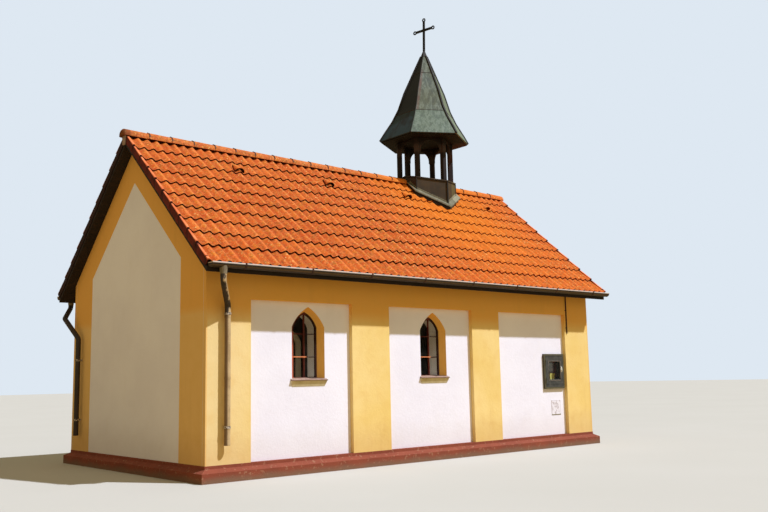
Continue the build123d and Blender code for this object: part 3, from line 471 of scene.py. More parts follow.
form = bmesh.new()
arc_rise = leaf_top - leaf_spring
arc_radius = (leaf_half ** 2 + arc_rise ** 2) / (2 * leaf_half)
spring = form.verts.new((leaf_front, leaf_half, leaf_spring))
bmesh.ops.spin(form, geom=[spring], cent=(leaf_front, leaf_half - arc_radius, leaf_spring), axis=(1, 0, 0),
               angle=atan2(arc_rise, arc_radius - leaf_half), steps=8)
form.edges.new((form.verts.new((leaf_front, leaf_half, leaf_foot)), spring))
bmesh.ops.mirror(form, geom=form.verts[:] + form.edges[:], merge_dist=0.0005, axis="Y")
bmesh.ops.remove_doubles(form, verts=form.verts, dist=0.0005)
bmesh.ops.contextual_create(form, geom=form.edges[:])
for cut in range(1, board_count):
    bmesh.ops.bisect_plane(form, geom=form.verts[:] + form.edges[:] + form.faces[:], dist=1e-5,
                           plane_co=(0, leaf_half * (2 * cut / board_count - 1), 0), plane_no=(0, 1, 0))
bmesh.ops.split_edges(form, edges=[e for e in form.edges if len(e.link_faces) == 2])
backs = bmesh.ops.extrude_face_region(form, geom=form.faces[:])
bmesh.ops.translate(form, verts=points(backs), vec=(-board_thick, 0, 0))
rounded(form, [e for e in form.edges if all(abs(v.co.x - leaf_front) < 1e-5 for v in e.verts)], board_edge, 1)
for level in ledge_heights:
    block(form, (door_low.x, ledge_inset - leaf_half, level),
          (leaf_front - board_thick, leaf_half - ledge_inset, level + ledge_high), 0.006)
leaf = finished("door_boards", form, door_oak)
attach(leaf, "chapel")
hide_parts("door_leaf")

strap_heights, strap_half, strap_short, tip_back, knuckle_half = (0.50, 1.70), 0.022, 0.24, 0.225, 0.035
nail_count, nail_start, nail_pitch, nail_radius = 5, 0.06, 0.13, 0.007
latch_y, latch_half, latch_low, latch_high = leaf_half - 0.085, 0.028, 1.02, 1.26
handle_z, handle_radius, handle_bar = 1.155, 0.042, 0.0055


def hoop(form, centre, axis, radius, bar, steps=24, sides=8):
    """A ring of round bar about an axis."""
    centre, axis = Vector(centre), Vector(axis).normalized()
    out = axis.orthogonal().normalized()
    turn = axis.cross(out).to_track_quat("Z", "Y").to_matrix().to_4x4()
    loop = bmesh.ops.create_circle(form, segments=sides, radius=bar,
                                   matrix=Matrix.Translation(centre + out * radius) @ turn)["verts"]
    bmesh.ops.spin(form, geom=edges_of(loop), cent=centre, axis=axis, angle=2 * pi, steps=steps,
                   use_merge=True)


forged = Finish("forged_iron", Metallic=0.65, Roughness=0.6)
scale_marks = forged.noise(70.0, detail=4.0)
rust = forged.noise(16.0, detail=5.0).rise(0.56, 0.72)
iron_tone = forged.coats(forged.mix(scale_marks, (34, 34, 36), (66, 64, 62)), (rust * 0.4, (92, 54, 34)))
forged_iron = forged.paint(iron_tone, roughness=0.5 + rust * 0.35, height=scale_marks, depth=0.0015)
form = bmesh.new()
skin_x, strap_mid, strap_face = leaf_front - 0.001, leaf_front + 0.002, leaf_front + 0.005
for level in strap_heights:
    block(form, (skin_x, 0.004 - leaf_half, level - strap_half),
          (strap_face, leaf_half - strap_short, level + strap_half), 0.0022)
    tip = Matrix.Translation((strap_mid, leaf_half - tip_back, level)) @ Matrix.Rotation(pi / 2, 4, "Y")
    bmesh.ops.create_cone(form, cap_ends=True, segments=4, radius1=0.042, radius2=0.034, depth=0.006,
                          matrix=tip)
    pin_y = -leaf_half - 0.004
    rod(form, (strap_mid, pin_y, level - knuckle_half), (strap_mid, pin_y, level + knuckle_half), 0.009)
    for nail in range(nail_count):
        head = (leaf_front + 0.004, nail_start + nail * nail_pitch - leaf_half, level)
        bmesh.ops.create_icosphere(form, subdivisions=1, radius=nail_radius, matrix=Matrix.Translation(head))
block(form, (skin_x, latch_y - latch_half, latch_low),
      (leaf_front + 0.004, latch_y + latch_half, latch_high), 0.002)
rod(form, (leaf_front, latch_y, 1.20), (leaf_front + 0.030, latch_y, 1.20), 0.008)
hoop(form, (leaf_front + 0.024, latch_y, handle_z), (1, 0, 0), handle_radius, handle_bar)
fittings = finished("door_ironwork", form, forged_iron)
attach(fittings, "chapel")

# Roof timber
# Dark stained softwood: boards along the slope underside and planed fascia boards at
# the eaves, darkened to nearly black all over as painted shade for the overhang.
slope_cos, slope_sin = 0.75258, 0.65850
roof_rise = slope_sin / slope_cos
board_pitch, board_gap = 0.118, 0.006
timber = Finish("roof_timber", Roughness=0.75)
x, y, z = timber.axes()
seam = ((abs(y) / slope_cos) % board_pitch) < board_gap
grain = timber.noise(14.0, stretch=(0.10, 1, 1), detail=6.0, rough=0.62)
# Dark stain with painted shade on top of it, and darker board joints.
stain_and_shade = timber.coats(timber.mix(grain.rise(0.3, 0.72), (34, 19, 13), (20, 12, 9)),
                     (timber.noise(1.7, detail=4.0).rise(0.45, 0.75) * 0.4, (50, 30, 20)), (seam, (12, 8, 6)))
cover(timber.paint(stain_and_shade, roughness=0.66 + grain * 0.25, height=grain - seam * 1.5, depth=0.003),
      "roof_deck_front", "roof_deck_back", "fascias")

# Roof tiles
# Pressed orange-red tiles with two waves each, hung in rows on battens, every row lapping
# the one below and fanning out a little. Weather has mottled them. Their lower edges and
# the battens carry a dark painted shade, lighter on the half toward the entrance, where a
# half tile ends each row.
crest_apex, eave_run, roof_half = 4.999, 3.3725, 4.160
tile_start, pitch, columns, tile_gap = -4.144, 0.301, 27, 0.003
wave_depth, tile_thick, nose_gap, wave_steps = 0.038, 0.018, 0.007, 6
tile_length, top_length, gauge, second_edge, fan = 0.430, 0.300, 0.328, 2.982, 0.0013
batten_low, batten_high, batten_back, batten_wide = -0.089, -0.068, 0.03, 0.05
rows, painted_shade_tone = 10, -1.0
random.seed(7)


def slope_frame(side):
    """Local x along the ridge, y down the slope, z off it; 0 is the ridge of the crests."""
    return Matrix(((1, 0, 0, 0), (0, side * slope_cos, side * slope_sin, 0),
                   (0, -slope_sin, slope_cos, crest_apex), (0, 0, 0, 1)))


def row_edge(row, x):
    """How far down the slope a row's lower edge lies at a place along the ridge."""
    return (eave_run if row == 0 else second_edge - gauge * (row - 1)) - fan * row * x


def wave_height(across):
    """Depth of the tile's face under its crests, at a distance across it."""
    return -wave_depth * (0.5 - 0.5 * cos(4 * pi * across / pitch)) ** 0.85


def tile_shape(waves, length):
    """A tile as a closed shell, left edge at x = 0, nose at y = 0 and head at -length, and
    which of its faces are the nose."""
    form = bmesh.new()
    bmesh.ops.create_grid(form, x_segments=wave_steps * waves, y_segments=1, size=0.5)
    for v in form.verts:
        across = (v.co.x + 0.5) * (pitch * waves / 2 - tile_gap)
        v.co = Vector((across, (v.co.y - 0.5) * length, wave_height(across)))
    under = bmesh.ops.extrude_face_region(form, geom=form.faces[:])
    bmesh.ops.translate(form, verts=points(under), vec=(0, 0, -tile_thick))
    bmesh.ops.recalc_face_normals(form, faces=form.faces)
    shape = bpy.data.meshes.new("tile")
    noses = [f.normal.y > 0.7 for f in form.faces]
    form.to_mesh(shape)
    form.free()
    return shape, noses


def set_tones(piece, tones):
    """Gives every face its own tone between two clay colours, or the dark painted shade."""
    shade = piece.data.attributes.new("tone", "FLOAT", "FACE")
    shade.data.foreach_set("value", tones)


def clay_finish(name, first, second, waves):
    """Rough pressed clay between two colours, blotched, with a painted pool of sunlight
    round the turret. Where waves is 1 it also has painted highlights on the crests and
    painted shade in the hollows, and where waves is 0 it is sooty at the blind gable's end.
    Faces whose tone is below -0.5 take a dark painted shade, lighter toward the entrance."""
    clay = Finish(name, Roughness=0.85, Specular_IOR_Level=0.2)
    x, y, z = clay.axes()
    tone = clay.node("ShaderNodeAttribute", {"attribute_name": "tone"}, out="Fac")
    grit = clay.noise(130.0, detail=3.0)
    blotch = clay.noise(9.0, detail=6.0, rough=0.65)
    hollow = 1 - abs(((x - tile_start) % (pitch / 2)) * (4 / pitch) - 1)
    # A painted pool of sunlight on the tiles round the turret.
    painted_sunlit_patch = (1 - abs(x - 2.05).rise(0.3, 2.1)) * (1 - abs(y).rise(0.7, 2.7))
    sooty_end = 1 - (x + blotch * 0.3).rise(-4.04, -3.86)
    spots = clay.node("ShaderNodeTexVoronoi", sockets={"Vector": clay.place(), "Scale": 15.0})
    lichen = (1 - spots.rise(0.11, 0.17)) * clay.noise(1.3, detail=3.0).rise(0.50, 0.60)
    colour = clay.coats(
        clay.mix(tone, first, second),
        (blotch.rise(0.46, 0.66) * 0.50, (186, 70, 30)),
        (clay.noise(13.0, detail=5.0).rise(0.48, 0.66) * 0.60, (206, 128, 30)),
        (x.rise(-0.5, 1.5) * 0.35, (238, 116, 16)),
        (clay.noise(24.0, detail=4.0).rise(0.50, 0.62) * 0.65, (140, 88, 40)),
        (clay.noise(31.0, detail=4.0).rise(0.52, 0.62) * 0.65, (232, 132, 66)),
        (clay.noise(37.0, detail=4.0).rise(0.60, 0.68) * 0.70, (244, 186, 104)),
        # Painted shade in the hollows and a painted highlight on the crests.
        (hollow.rise(0.30, 0.95) * (0.45 * waves), (138, 50, 12)),
        ((1 - hollow.rise(0.0, 0.40)) * (0.36 * waves) * blotch, (250, 170, 96)),
        (painted_sunlit_patch * 0.52, (232, 134, 22)),
        (grit.rise(0.55, 0.8) * 0.35, (142, 62, 30)),
        (sooty_end * (0.75 - 0.75 * waves), (84, 46, 22)),
        (lichen * 0.75, (226, 206, 130)),
        # The dark painted shade, lighter toward the entrance.
        (tone < -0.5, clay.mix(x.rise(0.4, 1.7), (46, 8, 4), (112, 36, 10))))
    return clay.paint(colour, roughness=0.72 + grit * 0.25, height=grit + blotch * 0.5, depth=0.0018)


tile_clay = clay_finish("tile_clay", (200, 84, 18), (218, 104, 30), 1.0)
shapes = {(waves, top): tile_shape(waves, top_length if top else tile_length)
          for waves in (1, 2) for top in (False, True)}
nose_tilt = (tile_thick + nose_gap) / gauge
for side, wall in ((-1, "front"), (1, "back")):
    form, tones = bmesh.new(), []
    for row in range(rows):
        top = row + 1 == rows
        for column in range(columns + 1):
            left = tile_start + pitch * column
            nudge = Vector((random.uniform(-0.0012, 0.0012), random.uniform(-0.003, 0.003),
                            random.uniform(-0.0015, 0.0005)))
            skew = Matrix.Rotation(random.uniform(-0.004, 0.004), 4, "Z")
            tilt = Matrix.Rotation(nose_tilt * (0.4 if top else 1) + random.uniform(-0.002, 0.002), 4, "X")
            shape, noses = shapes[1 if column == columns else 2, top]
            laid = shape.copy()
            spot = Matrix.Translation(Vector((left, row_edge(row, left), 0)) + nudge)
            laid.transform(slope_frame(side) @ spot @ skew @ tilt)
            form.from_mesh(laid)
            bpy.data.meshes.remove(laid)
            shade = random.random()
            # The tile noses take the dark painted shade.
            tones += [painted_shade_tone if nose else shade for nose in noses]
        back = row_edge(row, 0) - gauge - batten_back
        batten = block(form, (0.004 - roof_half, back, batten_low),
                       (roof_half - 0.004, back + batten_wide, batten_high))
        bmesh.ops.transform(form, matrix=slope_frame(side), verts=batten)
        # The battens take the dark painted shade.
        tones += [painted_shade_tone] * 6
    tiles = finished(wall + "_tiles", form, tile_clay, crease=50)
    set_tones(tiles, tones)
    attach(tiles, "chapel")
    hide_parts("roof_tiles_" + wall)
for shape, noses in shapes.values():
    bpy.data.meshes.remove(shape)

# Vent tiles
# Four tiles near the ridge are pressed up into a hood that widens down the slope to an
# open arched mouth, which airs the space under the tiles.
vent_places, vent_row, mouth_back, hood_long = (-2.480, -0.683, 1.140, 3.285), 8, 0.034, 0.200
hood_half, hood_high, hood_foot, hood_thick, hood_tone = 0.088, 0.078, -0.038, 0.011, 0.6


def add_form(whole, part):
    """Adds one bmesh to another and frees it."""
    shape = bpy.data.meshes.new("part")
    part.to_mesh(shape)
    part.free()
    whole.from_mesh(shape)
    bpy.data.meshes.remove(shape)


def face_up(form):
    """Turns an open sheet's faces to look up."""
    bmesh.ops.recalc_face_normals(form, faces=form.faces)
    if sum(f.normal.z for f in form.faces) < 0:
        bmesh.ops.reverse_faces(form, faces=form.faces)


form, tones = bmesh.new(), []
for centre in vent_places:
    mouth = row_edge(vent_row, centre) - mouth_back
    hood = bmesh.new()
    bmesh.ops.create_grid(hood, x_segments=14, y_segments=5, size=0.5)
    for v in hood.verts:
        turn, down = v.co.x * pi, v.co.y + 0.5
        v.co = Vector((hood_half * (0.50 + 0.50 * down) * sin(turn), mouth - hood_long * (1 - down),
                       hood_foot + hood_high * (0.40 + 0.60 * down) * cos(turn)))
    face_up(hood)
    bmesh.ops.solidify(hood, geom=hood.faces[:], thickness=hood_thick)
    for f in hood.faces:
        # The mouth, the hood's underside and its foot take the dark painted shade.
        dark = f.normal.y > 0.8 or f.normal.z < -0.1 or f.calc_center_median().z < hood_foot + 0.016
        tones.append(painted_shade_tone if dark else hood_tone)
    bmesh.ops.transform(hood, matrix=slope_frame(-1) @ Matrix.Translation((centre, 0, 0)), verts=hood.verts)
    add_form(form, hood)
vents = finished("vent_hoods", form, tile_clay, crease=50, outward=False)
set_tones(vents, tones)
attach(vents, "chapel")

# Verge tiles
# Edge tiles close the roof's four sloping ends: a narrow arm beside the last wave and a
# skirt that hangs over the gable overhang, each head tucked under the next nose.
verge_out, verge_up, verge_down, verge_thick, arm_thick = 4.1745, 0.008, -0.100, 0.014, 0.010
verge_ends = ((-1, "left", 4.143), (1, "right", 4.131))
verge_tuck, verge_lap, verge_step, verge_round, joint_wide = 0.004, 0.050, 0.018, 0.009, 0.012
edge_clay = Finish("verge_clay", Roughness=0.82, Specular_IOR_Level=0.3)
x, y, z = edge_clay.axes()
weather = edge_clay.noise(8.0, detail=6.0)
grit = edge_clay.noise(120.0, detail=3.0)
skirt = (crest_apex - z - abs(y) * roof_rise).rise(0.008, 0.018)
above_nose = (second_edge - x * fan - abs(y) / slope_cos) % (x * fan + gauge)
painted_nose_shade = (above_nose < joint_wide).most(above_nose > gauge - joint_wide)
# Painted shade: the skirt is near-black just above each nose and all along the back slope, and the arm is
# dark at each nose line.
skirt_tone = edge_clay.coats(
    edge_clay.mix(weather.rise(0.35, 0.7), (112, 34, 22), (76, 22, 16)),
    ((1 - above_nose.rise(0.020, 0.045)) * 0.75, (24, 8, 8)), ((y > 0) * 0.85, (20, 9, 8)))
verge_tone = edge_clay.coats(
    edge_clay.mix(weather.rise(0.3, 0.75), (244, 140, 86), (214, 96, 44)),
    (painted_nose_shade, (60, 16, 8)), (skirt, skirt_tone), (grit.rise(0.55, 0.8) * 0.35, (92, 44, 32)))
verge_clay = edge_clay.paint(verge_tone, roughness=0.72 + grit * 0.2, height=grit + weather * 0.5,
                             depth=0.0018)
for end, wall, inner in verge_ends:
    form = bmesh.new()
    skirt_in = verge_out - verge_thick
    outline = [(inner, verge_up - arm_thick), (inner, verge_up), (verge_out, verge_up),
               (verge_out, verge_down), (skirt_in, verge_down), (skirt_in, verge_up - verge_thick)]
    for side in (-1, 1):
        for row in range(rows):
            edge = row_edge(row, end * verge_out)
            length = edge if row + 1 == rows else edge - row_edge(row + 1, end * verge_out) + verge_lap
            nose = [form.verts.new((end * px, 0, pz)) for px, pz in outline]
            head = points(bmesh.ops.extrude_face_region(form, geom=[form.faces.new(nose)]))
            bmesh.ops.translate(form, verts=head, vec=(-end * verge_tuck, -length, 0))
            outer_edge = [e for e in nose[2].link_edges if e.other_vert(nose[2]) in head]
            soft = rounded(form, outer_edge, verge_round, 3)
            mine = list(dict.fromkeys([v for v in nose + head if v.is_valid] + soft["verts"]))
            bmesh.ops.transform(form, verts=mine, matrix=slope_frame(side) @ Matrix.Translation((0, edge, 0))
                                @ Matrix.Rotation(verge_step / gauge, 4, "X"))
    verge = finished("verge_" + wall, form, verge_clay, crease=40)
    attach(verge, "chapel")
    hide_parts("verge_tiles_" + wall)

# Ridge caps
# Half-round caps ride on the crests of the two top rows, each wide end lapping the narrow
# end before it and nailed down with a thin strap. The first and last cap have a closed,
# rounded end, with a small pale closer under it where the verges meet.
ridge_axis_z, ridge_radius, ridge_taper, ridge_thick, cap_leg = 4.948, 0.097, 0.010, 0.013, 0.016
ridge_half, cap_pitch, cap_lap, end_reach = 4.192, 0.375, 0.045, 0.052
ridge_runs = ((-ridge_half, 1.455), (2.600, ridge_half))
strap_start, strap_end, strap_thick, strap_off, nail_high = 0.002, 0.016, 0.003, 0.0015, 0.009
ridge_clay = clay_finish("ridge_clay", (188, 100, 46), (206, 118, 60), 0.0)


def cap_shell(form, x0, x1, radius0, radius1, thick, leg, start=0.0):
    """A shell over the ridge from x0 to x1, from an angle above level to the same one
    on the other side, with straight legs below it."""
    ends = [form.verts.new((x, radius * cos(start), ridge_axis_z + radius * sin(start)))
            for x, radius in ((x0, radius0), (x1, radius1))]
    line = form.edges.new(ends)
    arch = bmesh.ops.spin(form, geom=ends + [line], cent=(x0, 0, ridge_axis_z), axis=(1, 0, 0),
                          angle=pi - 2 * start, steps=12)
    if leg:
        last = next(g for g in arch["geom_last"] if isinstance(g, bmesh.types.BMEdge))
        for edge in (line, last):
            down = bmesh.ops.extrude_edge_only(form, edges=[edge])
            bmesh.ops.translate(form, verts=points(down), vec=(0, 0, -leg))
    face_up(form)
    bmesh.ops.solidify(form, geom=form.faces[:], thickness=thick)


caps, straps, cap_tones = bmesh.new(), bmesh.new(), []
for low, high in ridge_runs:
    count = round((high - low) / cap_pitch)
    step = (high - low) / count
    for number in range(count):
        x0 = low + number * step
        cap = bmesh.new()
        cap_shell(cap, x0, min(x0 + step + cap_lap, high), ridge_radius, ridge_radius - ridge_taper,
                  ridge_thick, cap_leg)
        shade = random.random()
        # The cap faces toward the blind gable take the dark painted shade.
        cap_tones += [painted_shade_tone if f.normal.x < -0.9 else shade for f in cap.faces]
        add_form(caps, cap)
        if number:
            strap, over = bmesh.new(), ridge_radius + strap_off
            cap_shell(strap, x0 + strap_start, x0 + strap_end, over, over, strap_thick, 0, radians(8))
            nail_x, crown = x0 + (strap_start + strap_end) / 2, ridge_axis_z + ridge_radius
            rod(strap, (nail_x, 0, crown), (nail_x, 0, crown + nail_high), 0.007, 8)
            add_form(straps, strap)
for end in (-1, 1):
    cap = bmesh.new()
    bmesh.ops.create_uvsphere(cap, u_segments=24, v_segments=12, radius=1.0)
    radius = ridge_radius if end < 0 else ridge_radius - ridge_taper
    bmesh.ops.scale(cap, verts=cap.verts, vec=(end_reach, radius, radius))
    for away in ((-end, 0, 0), (0, 0, -1)):
        cut = bmesh.ops.bisect_plane(cap, geom=cap.verts[:] + cap.edges[:] + cap.faces[:], dist=1e-6,
                                     plane_co=(0, 0, 0), plane_no=away, clear_outer=True)
        rim = [g for g in cut["geom_cut"] if isinstance(g, bmesh.types.BMEdge)]
        bmesh.ops.contextual_create(cap, geom=rim)
    sole = max(cap.faces, key=lambda f: -f.normal.z)
    leg = points(bmesh.ops.extrude_face_region(cap, geom=[sole]))
    bmesh.ops.translate(cap, verts=leg, vec=(0, 0, -cap_leg))
    bmesh.ops.translate(cap, verts=cap.verts, vec=(end * ridge_half, 0, ridge_axis_z))
    cap_tones += [0.0] * len(cap.faces)
    add_form(caps, cap)
ridge = finished("ridge_caps", caps, ridge_clay, crease=45, outward=False)
set_tones(ridge, cap_tones)
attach(ridge, "chapel")
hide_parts("ridge_tiles")


def mottled(name, first, second, scale, detail=4.0, stretch=(1, 1, 1), edges=(0.3, 0.7),
            roughness=(0.5, 0.3), depth=0.001, **constants):
    """A plain finish in two colours, its roughness and relief from the same mottling."""
    coat = Finish(name, **constants)
    spots = coat.noise(scale, stretch=stretch, detail=detail)
    share = spots.rise(*edges) if edges else spots
    gloss = spots * roughness[1] + roughness[0] if roughness else None
    relief = spots if depth else None
    return coat.paint(coat.mix(share, first, second), roughness=gloss, height=relief, depth=depth)


clip_metal = mottled("clip_metal", (34, 20, 16), (60, 38, 28), 40.0, edges=None, roughness=(0.45, 0.3),
                     Metallic=0.5)
clips = finished("ridge_clips", straps, clip_metal, crease=40, outward=False)
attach(clips, "chapel")

closer_in, closer_out, closer_half, closer_narrow = 4.172, 4.190, 0.062, 0.62
closer_low, closer_high = 4.800, 4.938
form = bmesh.new()
for end in (-1, 1):
    low_x, high_x = sorted((end * closer_in, end * closer_out))
    plate = block(form, (low_x, -closer_half, closer_low), (high_x, closer_half, closer_high))
    for v in plate:
        if v.co.z < closer_low + 0.01:
            v.co.y *= closer_narrow
    rounded(form, edges_of(plate), 0.004)
closer_sheet = mottled("closer_sheet", (150, 124, 108), (186, 160, 146), 40.0, 5.0, roughness=None,
                       depth=0.003, Roughness=0.9)
bedding = finished("ridge_closers", form, closer_sheet)
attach(bedding, "chapel")

# Gutters
# Half-round gutters of brown coated sheet with a rolled bead on the outer lip and soldered
# joints, carried by flat-bar brackets nailed to the fascia.
gutter_y, gutter_z, gutter_radius, gutter_half = 2.568, 2.73825, 0.0645, 4.1475
gutter_sheet, bead = 0.0035, 0.0060
bracket_count, bracket_reach, bracket_wide, bracket_bar, bracket_off = 8, 3.665, 0.025, 0.004, 0.0045
joint_places, joint_half, fascia_face, stop_thick = (-2.05, 0.02, 2.09), 0.015, 2.499, 0.003


def gutter_strip(form, side, x0, x1, radius, thick, steps):
    """A half-round strip about the gutter's axis, with its thickness inwards."""
    ends = [form.verts.new((x, side * (gutter_y + radius), gutter_z)) for x in (x0, x1)]
    before = set(form.faces)
    bmesh.ops.spin(form, geom=ends + [form.edges.new(ends)], cent=(0, side * gutter_y, gutter_z),
                   axis=(1, 0, 0), angle=-side * pi, steps=steps)
    strip = [f for f in form.faces if f not in before]
    bmesh.ops.recalc_face_normals(form, faces=strip)
    if sum(f.normal.z for f in strip) > 0:
        bmesh.ops.reverse_faces(form, faces=strip)
    bmesh.ops.solidify(form, geom=strip, thickness=thick)


coated = Finish("gutter_coat", Roughness=0.5)
x, y, z = coated.axes()
worn = coated.noise(6.0, stretch=(0.5, 1, 1), detail=6.0)
spots = coated.noise(45.0, detail=4.0)
below_lip = gutter_z - z
# A painted reflection makes a paler band low on the trough, and a painted highlight makes the lip pale.
painted_sheen_band = (1 - abs(below_lip - 0.040).rise(0.004, 0.014)) * (0.45 + worn * 0.6)
coat_tone = coated.coats(
    coated.mix(worn.rise(0.3, 0.75), (26, 19, 13), (44, 34, 24)),
    (spots.rise(0.58, 0.72) * 0.4, (84, 68, 48)), (painted_sheen_band * 0.8, (108, 80, 48)),
    (1 - below_lip.rise(0.009, 0.013), (214, 198, 186)))
gutter_coat = coated.paint(coat_tone, roughness=0.42 + worn * 0.3, height=spots, depth=0.001)
for side, wall in ((-1, "front"), (1, "back")):
    form = bmesh.new()
    gutter_strip(form, side, -gutter_half, gutter_half, gutter_radius, gutter_sheet, 16)
    bead_y = side * (gutter_y + gutter_radius - bead)
    rod(form, (-gutter_half, bead_y, gutter_z), (gutter_half, bead_y, gutter_z), bead, 10)
    for end in (-1, 1):
        place = (Matrix.Translation((end * (gutter_half - 0.004), side * gutter_y, gutter_z))
                 @ Matrix.Rotation(pi / 2, 4, "Y"))
        stop = bmesh.ops.create_circle(form, cap_ends=True, segments=32, radius=gutter_radius - 0.001,
                                       matrix=place)["verts"]
        disc = stop + edges_of(stop) + list(dict.fromkeys(f for v in stop for f in v.link_faces))
        half = bmesh.ops.bisect_plane(form, geom=disc, dist=1e-5, plane_co=(0, 0, gutter_z - 0.0005),
                                      plane_no=(0, 0, 1), clear_outer=True)
        plate = [g for g in half["geom"] if isinstance(g, bmesh.types.BMFace)]
        bmesh.ops.translate(form, verts=points(bmesh.ops.extrude_face_region(form, geom=plate)),
                            vec=(end * stop_thick, 0, 0))
    for middle in joint_places:
        gutter_strip(form, side, middle - joint_half, middle + joint_half, gutter_radius + 0.0015, 0.002, 12)
    trough = finished(wall + "_gutter_trough", form, gutter_coat, crease=50)
    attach(trough, "chapel")
    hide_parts(wall + "_gutter")

form = bmesh.new()
for side in (-1, 1):
    for number in range(bracket_count):
        x0 = bracket_reach * (2 * number / (bracket_count - 1) - 1) - bracket_wide / 2
        x1, outside = x0 + bracket_wide, gutter_y + gutter_radius
        gutter_strip(form, side, x0, x1, gutter_radius + bracket_off, bracket_bar, 12)
        near, far = sorted((side * (gutter_y - gutter_radius + 0.002), side * fascia_face))
        block(form, (x0, near, gutter_z - 0.060), (x1, far, gutter_z + 0.006), 0.001)
        near, far = sorted((side * (outside + bracket_off), side * (outside - 0.016)))
        block(form, (x0, near, gutter_z), (x1, far, gutter_z + 0.009), 0.001)
bracket_coat = mottled("bracket_coat", (44, 20, 16), (74, 40, 30), 30.0, 5.0)
brackets = finished("gutter_hangers", form, bracket_coat, crease=40)
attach(brackets, "chapel")
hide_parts("gutter_brackets")

# Downpipes
# Round sheet pipes from the outlets, bent back under the eave and run down the wall, in
# lengths pushed together with a bead at each joint and held by hinged clips on pegs. The
# pale paint of the front one has peeled at its bends, and its left side carries painted
# shade, with the dark peeled patches gathered on that side.
pipe_radius, bend_radius, sleeve, sleeve_half, pipe_end = 0.0395, 0.070, 0.0415, 0.012, 0.452
collar_low, collar_high, end_sleeve = 2.575, 2.615, pipe_end + 0.018
front_route = [(-3.962, -2.568, 2.660), (-3.962, -2.568, 2.503), (-3.727, -2.275, 2.240),
               (-3.727, -2.275, pipe_end)]
back_route = [(-3.935, 2.568, 2.660), (-3.935, 2.568, 2.553), (-4.135, 2.290, 2.343), (-4.075, 1.830, 1.993),
              (-4.075, 1.830, pipe_end)]


def bent_pipe(form, route, radius, bend, sides=20):
    """A closed round pipe along a route, its corners swept about their own centres."""
    route = [Vector(p) for p in route]
    place = Matrix.Translation(route[0]) @ (route[1] - route[0]).to_track_quat("Z", "Y").to_matrix().to_4x4()
    ring = bmesh.ops.create_circle(form, cap_ends=True, segments=sides, radius=radius, matrix=place)["verts"]
    face, here = ring[0].link_faces[0], route[0]

    def drawn(face):
        grown = bmesh.ops.extrude_face_region(form, geom=[face])
        return points(grown), next(g for g in grown["geom"] if isinstance(g, bmesh.types.BMFace))

    for before, corner, after in zip(route, route[1:], route[2:] + [None]):
        coming = (corner - before).normalized()
        going = (after - corner).normalized() if after else coming
        turn = coming.angle(going)
        start = corner - coming * bend * tan(turn / 2)
        tops, face = drawn(face)
        bmesh.ops.translate(form, verts=tops, vec=start - here)
        here = start
        if turn < 0.01:
            continue
        axis = coming.cross(going).normalized()
        centre = start + axis.cross(coming) * bend
        steps = max(2, round(degrees(turn) / 9))
        for _ in range(steps):
            tops, face = drawn(face)
            bmesh.ops.rotate(form, verts=tops, cent=centre, matrix=Matrix.Rotation(turn / steps, 3, axis))
        here = corner + going * bend * tan(turn / 2)


for wall, route, joints in (("front", front_route, (2.085, 1.30)), ("back", back_route, (1.83, 1.16))):
    pipe_coat = Finish(wall + "_pipe_coat", Roughness=0.6)
    x, y, z = pipe_coat.axes()
    flake = pipe_coat.noise(11.0, stretch=(1, 1, 0.45), detail=6.0, rough=0.65)
    specks = pipe_coat.noise(55.0, detail=4.0)
    pipe_tone = pipe_coat.mix(flake.rise(0.3, 0.7), (34, 26, 22), (62, 48, 40))
    if wall == "front":
        (top_x, _, top_z), (foot_x, _, foot_z) = route[1], route[2]
        drop = (z - foot_z).most(0).least(top_z - foot_z) / (top_z - foot_z)
        leftward = (foot_x - drop * (foot_x - top_x) - x) / pipe_radius
        # Painted shade darkens the pipe's left side; above the bend the dark patches gather there too.
        pale_paint = pipe_coat.coats(
            pipe_coat.mix(flake.rise(0.35, 0.65), (200, 172, 126), (170, 142, 98)),
            (specks.rise(0.58, 0.70) * 0.5, (120, 88, 62)), (leftward.rise(0.25, 0.65) * 0.8, (92, 62, 40)))
        peeled_and_shaded = (leftward * 0.55 + (flake - 0.5) * 3.2).rise(-0.05, 0.15) * z.rise(2.04, 2.16)
        peeled_and_shaded = peeled_and_shaded.most((1 - abs(z - 2.235).rise(0.02, 0.07)) * flake.rise(0.36, 0.44))
        pipe_tone = pipe_coat.mix(peeled_and_shaded, pale_paint, pipe_tone)
    pipe_finish = pipe_coat.paint(pipe_tone, roughness=0.45 + flake * 0.35, height=specks + flake,
                                  depth=0.001)
    form = bmesh.new()
    bent_pipe(form, route, pipe_radius, bend_radius)
    for level in joints + (end_sleeve,):
        rod(form, (*route[-1][:2], level - sleeve_half), (*route[-1][:2], level + sleeve_half), sleeve, 20)
    rod(form, (*route[0][:2], collar_low), (*route[0][:2], collar_high), sleeve, 20)
    pipe = finished(wall + "_pipe", form, pipe_finish, crease=50)
    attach(pipe, "chapel")
    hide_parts(wall + "_downpipe")
funnel_sheet = mottled("funnel_sheet", (146, 132, 104), (88, 74, 56), 22.0, 5.0, stretch=(1, 1, 0.3),
                       edges=(0.35, 0.7), roughness=(0.5, 0.25))
cover(funnel_sheet, "gutter_outlets")
clip_paint = mottled("clip_paint", (196, 182, 164), (66, 50, 40), 48.0, 5.0, edges=(0.46, 0.56))
cover(clip_paint, "pipe_clips")

